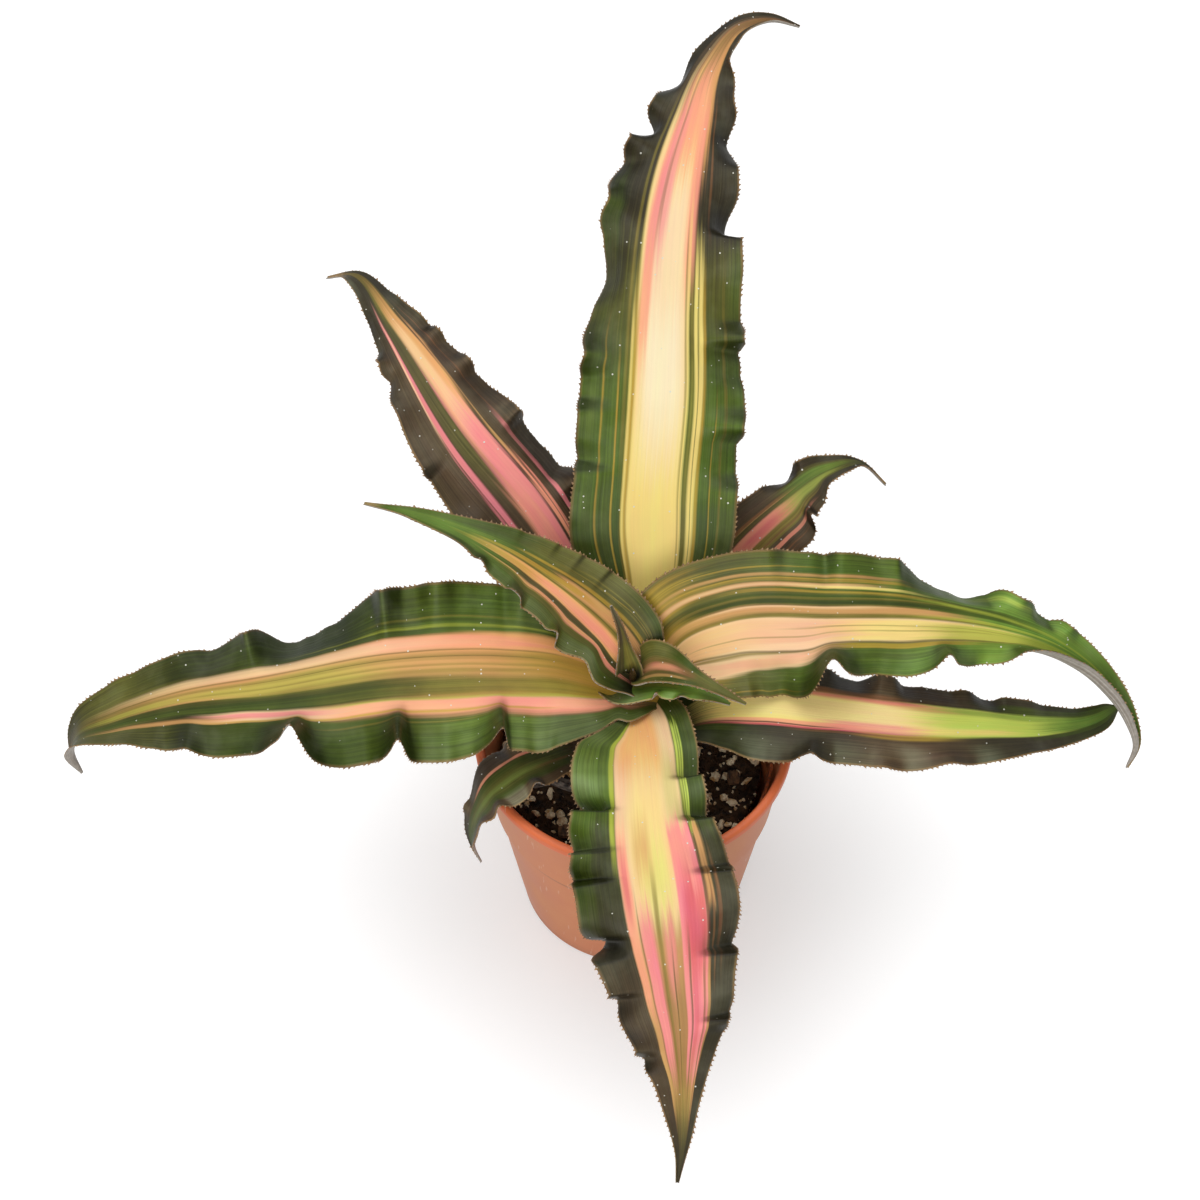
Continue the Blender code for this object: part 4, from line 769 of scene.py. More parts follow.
        "margins": [("moss", 0), ("fern", 20), ("grass", 40), ("fern", 80)],
        "stripes": [
            ("olive", -20, 80, 5, 60, 0, 50, 10), ("brown", 20, 80, 10, 60, 0, 50, 12),
            ("salmon", 40, 70, 15, 45, 0, 60, 10, 10)],
    },
    "leaf_centre_spike": {
        "path": [(-1.5, 0.8, 91.5), (-1.9, 2.2, 96.5), (-2.6, 4, 103), (-3.9, 5.5, 111), (-6.5, 6.3, 120)],
        "leftHalf": [(0, 3.2), (10, 4.2), (20, 4.2), (30, 3.3), (42, 2.1), (60, 1.1), (80, 0.6),
            (100, 0.3)],
        "rightHalf": [(0, 3.2), (10, 4.2), (20, 4.2), (30, 3.3), (42, 2.1), (60, 1.1), (80, 0.6),
            (100, 0.3)],
        "cup": [(0, 65), (30, 55), (60, 50), (100, 50)],
        "margins": [("moss", 0), ("slate", 50)],
        "stripes": [
            ("olive", -70, 10, 15, 70, 0, 50, 10), ("umber", 20, 80, 20, 90, 0, 60, 10),
            # the near-black stripe at the base is painted shade of the hollow at the heart of the rosette
            ("pitch", -85, 85, -20, 20, 0, 97, 12, 6)],
    },
    "leaf_dried": {
        "path": [(-7, -8, 62), (-13, -15, 65), (-18, -16, 67), (-23, -14, 67), (-28, -14, 64)],
        "leftHalf": [(0, 2), (12, 3.5), (30, 4.5), (50, 5), (70, 4), (85, 2.5), (95, 1.2), (100, 0.5)],
        "rightHalf": [(0, 2), (12, 3.5), (30, 4.5), (50, 4.5), (70, 4), (85, 2.5), (95, 1.2), (100, 0.5)],
        "cup": [(0, 60), (30, 40), (60, 30), (85, 40), (100, 60)],
        "roll": [(0, 0), (50, 25), (100, 10)],
        "leftWave": [(30, 20), (50, -20), (70, 20)],
        "rightWave": [(30, -20), (50, 20), (70, -10)],
    },
}


def follow(at, knots, values):
    # smooth curve through the values, read at the fractions in at
    knots = np.asarray(knots, float)
    values = np.asarray(values, float)
    slopes = np.gradient(values, knots, axis=0)
    return span(at, knots, values, slopes)


def span(at, knots, values, slopes):
    # cubic between each two knots, with the given slopes at them
    index = np.clip(np.searchsorted(knots, at) - 1, 0, len(knots) - 2)
    step = knots[index + 1] - knots[index]
    t = (at - knots[index]) / step
    if values.ndim == 2:
        step = step[:, None]
        t = t[:, None]
    start = (1 + 2 * t) * (1 - t) ** 2 * values[index] + t * (1 - t) ** 2 * step * slopes[index]
    end = t * t * (3 - 2 * t) * values[index + 1] + t * t * (t - 1) * step * slopes[index + 1]
    return start + end


def track(at, pairs):
    # the same for a leaf's pairs of percent and value
    shares, values = zip(*pairs)
    return follow(at, np.array(shares) / 100, values)


def wave(at, pairs):
    # tilt of a margin along the leaf, passing smoothly through every crest and trough without overshoot
    knots, tilts = np.array([(0, 0), *pairs, (100.1, 0)], float).T
    knots = knots / 100
    climbs = np.diff(tilts) / np.diff(knots)
    slopes = np.zeros_like(tilts)
    for i in range(1, len(tilts) - 1):
        if climbs[i - 1] * climbs[i] > 0:
            slopes[i] = 2 * climbs[i - 1] * climbs[i] / (climbs[i - 1] + climbs[i])
    return span(at, knots, tilts, slopes)


def midrib(points, rows):
    # evenly spaced points on the midrib, the direction along it at each, and its length
    points = np.array(points, float)
    chords = np.linalg.norm(np.diff(points, axis=0), axis=1)
    knots = np.concatenate([[0.0], np.cumsum(chords)]) / chords.sum()
    fineAt = np.linspace(0, 1, 401)
    fine = follow(fineAt, knots, points)
    lengths = np.concatenate([[0.0], np.cumsum(np.linalg.norm(np.diff(fine, axis=0), axis=1))])
    centres = follow(np.interp(np.linspace(0, 1, rows), lengths / lengths[-1], fineAt), knots, points)
    along = np.gradient(centres, axis=0)
    along /= np.linalg.norm(along, axis=1)[:, None]
    return centres, along, lengths[-1]


def bladeFrames(along, roll):
    # upper-side normal and leftward direction at each row, carried along without twist, then rolled
    up = np.zeros_like(along)
    first = np.array([0.0, 0.0, 1.0]) - along[0] * along[0][2]
    up[0] = first / np.linalg.norm(first)
    for i in range(1, len(along)):
        carried = up[i - 1] - along[i] * (up[i - 1] @ along[i])
        up[i] = carried / np.linalg.norm(carried)
    left = np.cross(up, along)
    cosine = np.cos(roll)[:, None]
    sine = np.sin(roll)[:, None]
    return up * cosine - left * sine, left * cosine + up * sine


def crinkle(at, length, seed):
    # small unevenness of the ruffles, in degrees
    places = [Vector((t * length / blade["crinkleLength"], seed * 3.7, 0.5)) for t in at]
    return np.array([noise.noise(place) for place in places]) * blade["crinkle"]


def gridNormals(grid):
    # outward normals of a sheet of points: rows along the blade, columns from its left margin to its right
    normal = np.cross(np.gradient(grid, axis=1), np.gradient(grid, axis=0))
    return normal / np.maximum(np.linalg.norm(normal, axis=2, keepdims=True), 1e-9)


def paintedLightSide(ruffled, plain):
    # how much more, or less, of the painted light a ruffle catches than a flat blade would
    return np.clip((gridNormals(ruffled) - gridNormals(plain)) @ np.array(blade["paintedLightFrom"]), -0.8, 0.8)


def halfSheet(centres, sign, left, up, slope, half):
    # points from the midrib to one margin, where slope is the angle of each step from straight out
    steps = [np.cumsum(turn(slope), axis=1) / slope.shape[1] * half[:, None] for turn in (np.cos, np.sin)]
    side, rise = [np.pad(step, ((0, 0), (1, 0)))[..., None] for step in steps]
    return centres[:, None] + sign * side * left[:, None] + rise * up[:, None]


def makeBlade(name, leaf, rows, columns, seed):
    # a closed blade: upper side, rounded margins and underside, with its own across and along
    at = np.linspace(0, 1, rows)
    centres, along, length = midrib(leaf["path"], rows)
    up, left = bladeFrames(along, np.radians(track(at, leaf.get("roll", [(0, 0), (100, 0)]))))
    cup = np.radians(track(at, leaf["cup"]))
    thin = np.minimum(1.0, 0.35 + 4 * (1 - at))
    steps = (np.arange(columns) + 0.5) / columns
    bend = np.clip((steps - leaf.get("hinge", blade["hinge"]) / 100) / (blade["reach"] / 100), 0, 1)
    bend = bend * bend * (3 - 2 * bend)
    out = np.linspace(0, 1, columns + 1)
    thickness = blade["thickness"] + (blade["edgeThickness"] - blade["thickness"]) * out[None, :] ** 2
    thickness = thickness * thin[:, None]
    tops, unders, rims, outs, plains = {}, {}, {}, {}, {}
    for sign, way in ((1, "left"), (-1, "right")):
        half = np.maximum(track(at, leaf[way + "Half"]), 0.35)
        tilt = wave(at, leaf.get(way + "Wave", []))
        tilt += crinkle(at, length, seed + sign) * np.minimum(1, at * 6)
        flat = cup[:, None] * steps
        slope = flat + np.radians(tilt)[:, None] * bend
        plains[sign] = halfSheet(centres, sign, left, up, flat, half)
        tops[sign] = halfSheet(centres, sign, left, up, slope, half)
        slope = np.pad(slope, ((0, 0), (1, 0)))[..., None]
        normal = np.cos(slope) * up[:, None] - sign * np.sin(slope) * left[:, None]
        outward = sign * np.cos(slope) * left[:, None] + np.sin(slope) * up[:, None]
        unders[sign] = tops[sign] - normal * thickness[..., None]
        outs[sign] = outward[:, -1]
        rims[sign] = (tops[sign][:, -1] + unders[sign][:, -1]) / 2 + outs[sign] * thickness[:, -1:] * 0.4

    loops = np.concatenate([rims[1][:, None], tops[1][:, ::-1], tops[-1][:, 1:], rims[-1][:, None],
                            unders[-1][:, ::-1], unders[1][:, 1:]], axis=1)
    across = np.concatenate([[1.0], out[::-1], -out[1:], [-1.0], -out[::-1], out[1:]])
    # painted light and shade of the ruffles, kept on the points of the blade
    paintedLight = paintedLightSide(*[np.concatenate([sheet[1][:, ::-1], sheet[-1][:, 1:]], axis=1)
                       for sheet in (tops, plains)])
    toLeft, toRight = paintedLight[:, :columns + 1], paintedLight[:, columns:]
    paintedLight = np.concatenate([toLeft[:, :1], toLeft, toRight[:, 1:], toRight[:, -1:], toRight[:, ::-1],
                             toLeft[:, -2::-1]], axis=1)
    loop = loops.shape[1]
    grid = np.arange(rows * loop).reshape(rows, loop)
    near, far = grid[:-1], grid[1:]
    faces = np.stack([near, np.roll(near, -1, axis=1), np.roll(far, -1, axis=1), far], axis=-1)
    faces = [*faces.reshape(-1, 4).tolist(), list(grid[0]), list(grid[-1])]
    # faces between upper points are the upper side, the rest is the back
    isBack = np.tile(np.arange(loop) > 2 * columns + 1, rows - 1)
    mesh = makeMesh(name, (loops.reshape(-1, 3) * mm).tolist(), faces)
    mesh.attributes.new("paintedLight", "FLOAT", "POINT").data.foreach_set("value", paintedLight.ravel())
    layer = mesh.uv_layers.new(name="blade")
    vertexOf = np.zeros(len(mesh.loops), int)
    mesh.loops.foreach_get("vertex_index", vertexOf)
    spots = np.stack([np.tile(across / 2 + 0.5, rows), np.repeat(at, loop)], axis=1)
    layer.uv.foreach_set("vector", spots[vertexOf].ravel())
    mesh.polygons.foreach_set("material_index", np.concatenate([isBack.astype(int), [1, 1]]))
    smooth(mesh)
    turnOutwards(mesh, 1e-7)
    return mesh, [(rims[sign] - outs[sign] * 0.15, outs[sign] * 0.8 + along * 0.5) for sign in (1, -1)]


def makeTeethTree(material):
    # flat thorns standing along the margins of a blade, a little uneven in place, size and lean
    tree, given = startTree("Geometry", "marginTeeth", {
        "Geometry": ["Geometry"], "Float": ("Spacing", "Length", "Width"), "Int": ["Seed"]},
        {"Geometry": ["Geometry"]})
    line = addNode(tree, "GeometryNodeMeshToCurve", [given["Geometry"]])
    spots = addNode(tree, "GeometryNodeResampleCurve", {"Curve": line, "Length": given["Spacing"]},
                    mode="LENGTH")
    lean = addNode(tree, "GeometryNodeInputNamedAttribute", {"Name": "lean"}, data_type="FLOAT_VECTOR")
    jitter = addNode(tree, "FunctionNodeRandomValue", {
        "Min": (-0.18, -0.18, -0.18), "Max": (0.18, 0.18, 0.18), "Seed": given["Seed"]},
        data_type="FLOAT_VECTOR")
    aim = addNode(tree, "VectorMath", [lean, jitter], operation="ADD")
    turn = addNode(tree, "FunctionNodeAlignRotationToVector", {"Vector": aim}, axis="Z")
    turn = addNode(tree, "FunctionNodeAlignRotationToVector", {
        "Rotation": turn, "Vector": addNode(tree, "GeometryNodeInputTangent")}, axis="X", pivot_axis="Z")
    thorn = addNode(tree, "GeometryNodeMeshCone", {
        "Vertices": 5, "Side Segments": 2, "Radius Top": 0.0, "Radius Bottom": given["Width"],
        "Depth": given["Length"]})
    size = addNode(tree, "FunctionNodeRandomValue", {2: 0.5, 3: 1.15, "Seed": given["Seed"]},
                   data_type="FLOAT")
    grown = addNode(tree, "GeometryNodeInputNamedAttribute", {"Name": "size"}, data_type="FLOAT")
    scale = addNode(tree, "Math", [size, grown], operation="MULTIPLY")
    flat = addNode(tree, "VectorMath", {0: (1.0, 0.4, 1.0), "Scale": scale}, operation="SCALE")
    teeth = addNode(tree, "GeometryNodeInstanceOnPoints", {
        "Points": spots, "Instance": thorn, "Rotation": turn, "Scale": flat})
    return endTree(tree, teeth, material)


def makeTeeth(name, margins, tree, seed):
    points, edges, leans, sizes = [], [], [], []
    for line, aim in margins:
        rows = len(line)
        first = int(rows * blade["bareBase"])
        edges += [(len(points) + i, len(points) + i + 1) for i in range(rows - first - 1)]
        points += (line[first:] * mm).tolist()
        leans += (aim[first:] / np.linalg.norm(aim[first:], axis=1)[:, None]).tolist()
        sizes += np.clip((1 - np.linspace(0, 1, rows)[first:]) * 12, 0.35, 1.0).tolist()
    mesh = makeMesh(name + "_teeth", points, [], edges)
    mesh.attributes.new("lean", "FLOAT_VECTOR", "POINT").data.foreach_set("vector", np.ravel(leans))
    mesh.attributes.new("size", "FLOAT", "POINT").data.foreach_set("value", sizes)
    teeth = addPiece(name + "_teeth", mesh)
    bakeNodes(teeth, tree, {
        "Spacing": blade["toothSpacing"] * mm, "Length": blade["toothLength"] * mm,
        "Width": blade["toothWidth"] * mm, "Seed": seed})
    return teeth


def joinTeeth(mesh, teeth):
    # the thorns grow out of the blade, so they become part of its mesh, with the third material
    shape = bmesh.new()
    shape.from_mesh(mesh)
    before = len(shape.faces)
    shape.from_mesh(teeth.data)
    shape.faces.ensure_lookup_table()
    for face in shape.faces[before:]:
        face.material_index = 2
        face.smooth = True
    shape.to_mesh(mesh)
    shape.free()
    bpy.data.objects.remove(teeth)


def makeLeaves():
    groups = {"stripe": makeStripeGroup(), "blade": makeBladeGroup(), "skin": makeSkinGroup()}
    back = paintUnderside()
    # horny thorn tips: dry tan, mottled
    tooth = paintMottled("horny leaf tooth", ("#7A5C3C", "#B8946A"), 700.0, 2.0, (0.35, 0.65), (0.4, 0.6),
                         (0, 0), {"IOR": 1.5})
    dried = paintDry("withered leaf", "#24201D", "#8A8176", (500.0, 900.0, 900.0))
    teethTree = makeTeethTree(tooth)
    for seed, (name, leaf) in enumerate(leaves.items()):
        grown = max(half for at, half in leaf["leftHalf"]) > blade["grown"]
        mesh, margins = makeBlade(name, leaf, *blade["large" if grown else "small"], seed)
        slotName, materials = "dried_leaf", [dried, dried]
        if "stripes" in leaf:
            joinTeeth(mesh, makeTeeth(name, margins, teethTree, seed))
            slotName, materials = "leaf", [paintLeaf(name, leaf, seed * 1.7, groups), back, tooth]
        finishPiece(addPiece(name + "_blade", mesh, materials), slotName, name)
    print("leaves ready")


# Nursery pot
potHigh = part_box("pot")[1]
pot = {
    "rimRadius": potHigh.x / mm,
    "height": potHigh.z / mm,
    "baseRadius": 32.3,
    "lipWidth": 2.6,
    "lipDepth": 3.0,
    "collarTop": 43.4,
    "collarFoot": 40.4,
    "collarHeight": 46.5,
    "collarStep": 1.0,
    "wall": 1.4,
    "floor": 2.0,
    "corner": 0.9,             # rounding left by the mould
    "segments": 144,
    "drainHoles": 6,
    "drainRadius": 3.0,
    "drainCircle": 20.0,
    "drainTurn": 0.3,          # radians
}


def makeTurningTree(material):
    # spins an outline about the upright axis, after rounding its corners
    tree, given = startTree("Geometry", "turnedPot", {
        "Geometry": ["Geometry"], "Int": ("Segments", "Corner Steps"), "Float": ["Corner Radius"]},
        {"Geometry": ["Geometry"]})
    line = addNode(tree, "GeometryNodeMeshToCurve", [given["Geometry"]])
    rounded = addNode(tree, "GeometryNodeFilletCurve", {
        "Curve": line, "Count": given["Corner Steps"], "Radius": given["Corner Radius"],
        "Limit Radius": True}, mode="POLY")
    points = addNode(tree, "GeometryNodeResampleCurve", {"Curve": rounded}, mode="EVALUATED")
    size = addNode(tree, "GeometryNodeAttributeDomainSize", [points], component="CURVE")
    count = size.outputs["Point Count"]
    rings = addNode(tree, "Math", [given["Segments"], 1], operation="ADD")
    skin = addNode(tree, "GeometryNodeMeshGrid", {"Vertices X": rings, "Vertices Y": count})
    index = addNode(tree, "GeometryNodeInputIndex")
    row = addNode(tree, "Math", [index, count], operation="MODULO")
    ring = addNode(tree, "Math", [index, count], operation="DIVIDE")
    ring = addNode(tree, "Math", [ring], operation="FLOOR")
    part = addNode(tree, "Math", [ring, given["Segments"]], operation="DIVIDE")
    angle = addNode(tree, "Math", [part, wholeTurn], operation="MULTIPLY")
    spot = addNode(tree, "GeometryNodeSampleIndex", {
        "Geometry": points, "Value": addNode(tree, "GeometryNodeInputPosition"), "Index": row},
        data_type="FLOAT_VECTOR", domain="POINT")
    turned = addNode(tree, "VectorRotate", {"Vector": spot, "Angle": angle}, rotation_type="Z_AXIS")
    bent = addNode(tree, "GeometryNodeSetPosition", {"Geometry": skin, "Position": turned})
    closed = addNode(tree, "GeometryNodeMergeByDistance", {"Geometry": bent, "Distance": 0.00001})
    return endTree(tree, closed, material)


def paintPot():
    # terracotta-coloured polypropylene, injection moulded: satin, hazed by dust, cleaner on the lip
    material, tree, shader = startMaterial("moulded polypropylene", {"IOR": 1.49})
    own = addNode(tree, "TexCoord").outputs["Object"]
    height = addNode(tree, "SeparateXYZ", [own]).outputs[2]
    clouds, grain = [addNode(tree, "TexNoise", {"Vector": own, "Scale": scale, "Detail": detail})
                     for scale, detail in ((38.0, 4.0), (1500.0, 2.0))]
    dust = addNode(tree, "MapRange", [clouds, 0.35, 0.7, 0.1, 0.7])
    lipFoot = pot["height"] - pot["lipDepth"]
    lip, foot = [addNode(tree, "MapRange", [height, *ends], interpolation_type="SMOOTHSTEP")
                 for ends in (((lipFoot - 0.6) * mm, (lipFoot + 0.6) * mm), (0.006, 0, 0, 0.5))]
    # painted shade: a darker band in the corner below the collar, where shade falls in the crease
    corner = addNode(tree, "Math", [height, (pot["collarHeight"] - 1.9) * mm], operation="SUBTRACT")
    fromCorner = addNode(tree, "Math", [corner], operation="ABSOLUTE")
    paintedCreaseShade = addNode(tree, "MapRange", [fromCorner, 0, 0.0016, 0.6, 0], interpolation_type="SMOOTHSTEP")
    # scuffs: thin pale slanting scratches, and grit splashed up from the bench
    turned = addNode(tree, "Mapping", {
        "Vector": own, "Rotation": (0.5, 0.9, 0.3), "Scale": (1200.0, 18.0, 160.0)})
    scratch = addNode(tree, "TexNoise", {"Vector": turned, "Scale": 1.0, "Detail": 1.0})
    scuff = addNode(tree, "MapRange", [scratch, 0.71, 0.76, 0, 0.4])
    cells = addNode(tree, "TexVoronoi", {"Vector": own, "Scale": 300.0}).outputs
    reach = addNode(tree, "MapRange", [addNode(tree, "SeparateColor", [cells["Color"]]), 0.93, 1, 0, 0.09])
    grit = addNode(tree, "Math", [cells["Distance"], reach], operation="LESS_THAN")
    colour = hexColour("#CE7240")
    for mask, tone in ((dust, "#E09C6C"), (lip, "#E0703F"), (foot, "#A65E3C"), (paintedCreaseShade, "#8E5232"),
                       (scuff, "#E7BFA6"), (grit, "#6B4330")):
        colour = addNode(tree, "Mix", {0: mask, 6: colour, 7: hexColour(tone)}, data_type="RGBA")
    rough = addNode(tree, "MapRange", [clouds, 0.3, 0.7, 0.42, 0.6])
    relief = addNode(tree, "Math", [scuff, -1, grain], operation="MULTIPLY_ADD")
    finishMaterial(tree, shader, colour, rough, relief, 0.35, 0.00012)
    return material


def makePot():
    step = pot["collarFoot"] - pot["collarStep"]
    rim, top, wall = pot["rimRadius"], pot["height"], pot["wall"]
    under = top - pot["lipDepth"]
    base, collar, inner = pot["baseRadius"], pot["collarHeight"], rim - pot["lipWidth"]
    outline = [
        (0, pot["floor"]), (base - wall, pot["floor"]), (step - wall, collar - 0.6),
        (pot["collarFoot"] - wall, collar + 0.4), (inner, top - 0.8), (inner + 0.5, top), (rim - 0.5, top),
        (rim, top - 0.8), (rim, under + 0.2), (rim - 0.5, under), (pot["collarTop"], under - 0.3),
        (pot["collarFoot"], collar), (step, collar - 0.8), (base, 0.8), (base - 0.8, 0), (0, 0)]
    piece = addPiece("pot_body", makeMesh("pot_body", [(r * mm, 0.0, z * mm) for r, z in outline], [],
                                          [(i, i + 1) for i in range(len(outline) - 1)]))
    bakeNodes(piece, makeTurningTree(paintPot()), {
        "Segments": pot["segments"], "Corner Radius": pot["corner"] * mm, "Corner Steps": 4})
    turnOutwards(piece.data, 1e-5)
    for i in range(pot["drainHoles"]):
        angle = wholeTurn * i / pot["drainHoles"] + pot["drainTurn"]
        circle = pot["drainCircle"] * mm
        bpy.ops.mesh.primitive_cylinder_add(
            vertices=24, radius=pot["drainRadius"] * mm, depth=8 * mm,
            location=(circle * math.cos(angle), circle * math.sin(angle), 0.0))
        cutter = bpy.context.object
        cut = piece.modifiers.new("drain hole", "BOOLEAN")
        cut.operation = "DIFFERENCE"
        cut.solver = "EXACT"
        cut.object = cutter
        keepResult(piece)
        bpy.data.objects.remove(cutter)
    smoothByAngle(piece.data, 40)
    finishPiece(piece, "pot", "pot")
    print("pot ready")


# Potting mix: a peat plug that has shrunk a little from the wall, with crumbs, perlite and bark on it
soil = {
    "top": 57.0,
    "topRadius": 37.2,
    "footRadius": 29.2,
    "foot": 2.3,
    "shift": (-1.1, 0.7),
    "lumps": 1.5,
    "edgeWobble": 0.025,       # unevenness of its outline, a share of the radius
    "edgeDrop": 2.0,           # how far its rounded edge falls
    "edgeStart": 0.93,         # share of the radius where it begins to
    "sideRough": 0.35,
    "rings": 34,
    "spokes": 120,
    "sideSteps": 14,
}

# What is strewn on it: how many to a square millimetre, size, how knocked about, how finely cut, a seed
strewn = {
    "soil_crumbs": (0.42, 0.75, 1.1, 1, 3),
    "perlite_specks": (0.09, 0.55, 0.8, 2, 8),
    "perlite_lumps": (0.03, 1.6, 1.0, 2, 21),
}


def makeGrainTree(name, material, facets, lumpSize):
    # grains strewn over a surface, each turned, sized and knocked about in its own way
    tree, given = startTree("Geometry", name, {
        "Geometry": ["Geometry"], "Float": ("Density", "Size", "Lumps"), "Int": ["Seed"]},
        {"Geometry": ["Geometry"]})
    upward = addNode(tree, "SeparateXYZ", [addNode(tree, "GeometryNodeInputNormal")]).outputs[2]
    flat = addNode(tree, "FunctionNodeCompare", [upward, 0.4], data_type="FLOAT", operation="GREATER_THAN")
    spots = addNode(tree, "GeometryNodeDistributePointsOnFaces", {
        "Mesh": given["Geometry"], "Selection": flat, "Density": given["Density"], "Seed": given["Seed"]})
    grain = addNode(tree, "GeometryNodeMeshIcoSphere", {"Radius": given["Size"], "Subdivisions": facets})
    turn, scale = [addNode(tree, "FunctionNodeRandomValue", {0: low, 1: high, "Seed": given["Seed"]},
                           data_type="FLOAT_VECTOR")
                   for low, high in (
                       ((0, 0, 0), (6.28, 6.28, 6.28)), ((0.45, 0.45, 0.35), (1.5, 1.2, 1.0)))]
    placed = addNode(tree, "GeometryNodeInstanceOnPoints", {
        "Points": spots, "Instance": grain, "Rotation": turn, "Scale": scale})
    real = addNode(tree, "GeometryNodeRealizeInstances", [placed])
    rough = addNode(tree, "TexNoise", {"Scale": 1.0 / (lumpSize * mm), "Detail": 1.0}).outputs["Color"]
    centred = addNode(tree, "VectorMath", [rough, (0.5, 0.5, 0.5)], operation="SUBTRACT")
    reach = addNode(tree, "Math", [given["Size"], given["Lumps"]], operation="MULTIPLY")
    push = addNode(tree, "VectorMath", {0: centred, "Scale": reach}, operation="SCALE")
    shaped = addNode(tree, "GeometryNodeSetPosition", {"Geometry": real, "Offset": push})
    return endTree(tree, shaped, material)


def soilMesh():
    spokes, rings, steps = soil["spokes"], soil["rings"], soil["sideSteps"]
    shiftX, shiftY = soil["shift"]
    angles = [wholeTurn * spoke / spokes for spoke in range(spokes)]
    points = [(shiftX * mm, shiftY * mm, soil["top"] * mm)]
    for ring in range(1, rings + 1):
        for angle in angles:
            wobble = noise.noise(Vector((math.cos(angle) * 5, math.sin(angle) * 5, 2.0)))
            edge = 1 + soil["edgeWobble"] * wobble
            radius = soil["topRadius"] * edge * ring / rings
            x = radius * math.cos(angle) + shiftX
            y = radius * math.sin(angle) + shiftY
            lump = noise.fractal(Vector((x * 0.22, y * 0.22, 4.0)), 0.8, 2.0, 5)
            past = max(0.0, ring / rings - soil["edgeStart"])
            drop = soil["edgeDrop"] * past / (1 - soil["edgeStart"])
            points.append((x * mm, y * mm, (soil["top"] - 0.4 + soil["lumps"] * lump - drop) * mm))
    for step in range(1, steps + 1):
        radius = soil["topRadius"] + (soil["footRadius"] - soil["topRadius"]) * step / steps
        z = soil["top"] - 2.4 + (soil["foot"] - soil["top"] + 2.4) * step / steps
        for angle in angles:
            rough = noise.fractal(Vector((math.cos(angle) * 8, math.sin(angle) * 8, z * 0.2)), 0.8, 2.0, 4)
            reach = radius - 0.2 + soil["sideRough"] * rough
            x = reach * math.cos(angle) + shiftX
            y = reach * math.sin(angle) + shiftY
            points.append((x * mm, y * mm, z * mm))
    points.append((shiftX * mm, shiftY * mm, soil["foot"] * mm))
    last = len(points) - 1
    pairs = [(i, (i + 1) % spokes) for i in range(spokes)]
    faces = [(0, 1 + i, 1 + k) for i, k in pairs]
    for first in range(1, last - spokes, spokes):
        faces += [(first + i, first + spokes + i, first + spokes + k, first + k) for i, k in pairs]
    faces += [(last, last - spokes + k, last - spokes + i) for i, k in pairs]
    mesh = makeMesh("soil_plug", points, faces)
    smooth(mesh)
    turnOutwards(mesh)
    return mesh


def makeSoil():
    # peat: crumbly, fibrous and matt, nearly black where it is damp
    peat = paintMottled("damp peat", ("#140C06", "#4C3622"), 420.0, 5.0, (0.36, 0.7), (0.8, 1.0),
                        (0.9, 0.0006), {"Specular IOR Level": 0.25})
    # expanded volcanic glass: chalky white with pits, stained by the peat
    perlite = paintMottled("expanded perlite", ("#C49A5E", "#FFEFCB"), 480.0, 3.0, (0.34, 0.56),
                           (0.75, 0.95), (0.8, 0.0004), {"Specular IOR Level": 0.3}, 2200.0)
    plug = addPiece("soil_plug", soilMesh(), [peat])
    for name, (density, size, lumps, facets, seed) in strewn.items():
        slotName = name.split("_")[0]
        grains = addPiece(name, plug.data.copy())
        tree = makeGrainTree(name, peat if slotName == "soil" else perlite, facets, size * 0.9)
        bakeNodes(grains, tree, {
            "Density": density / mm / mm, "Size": size * mm, "Lumps": lumps, "Seed": seed})
        finishPiece(grains, slotName)
    finishPiece(plug, "soil", "soil")
    print("soil ready")
    return perlite


def nodeBox(node):
    low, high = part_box(node)
    return (low + high) / 2, (high - low) / 2


# The larger grains: popped, knobbly lumps with pits
bigGrain = {
    "knobs": 0.42,             # how far they stand out, a share of the radius
    "knobScale": 1.7,
    "swell": 1.05,             # size against its node
    "sunk": 0.4,
}


def makePerlite(material):
    for index, letter in enumerate("abcdefgh"):
        middle, half = nodeBox("perlite_" + letter)
        shape = bmesh.new()
        bmesh.ops.create_icosphere(shape, subdivisions=4, radius=1.0)
        for vertex in shape.verts:
            way = vertex.co.normalized()
            spot = way * bigGrain["knobScale"] + Vector((index * 5.1, 0, 0))
            knobs = noise.fractal(spot, 0.7, 2.0, 4)
            vertex.co = way * (1.0 + bigGrain["knobs"] * knobs)
        largest = [max(abs(vertex.co[axis]) for vertex in shape.verts) for axis in range(3)]
        for vertex in shape.verts:
            for axis in range(3):
                share = vertex.co[axis] / largest[axis]
                vertex.co[axis] = middle[axis] + share * half[axis] * bigGrain["swell"]
            vertex.co.z -= bigGrain["sunk"] * mm
        keepShape("perlite_" + letter + "_grain", shape, material, "perlite", "perlite_" + letter)


# Bark chips: shares of their size
chip = {
    "cuts": 9,
    "endTaper": 0.25,
    "sideTaper": 0.1,
    "width": (0.82, 0.25),     # least of it, and what the roughness adds
    "depth": (0.7, 0.35),
}


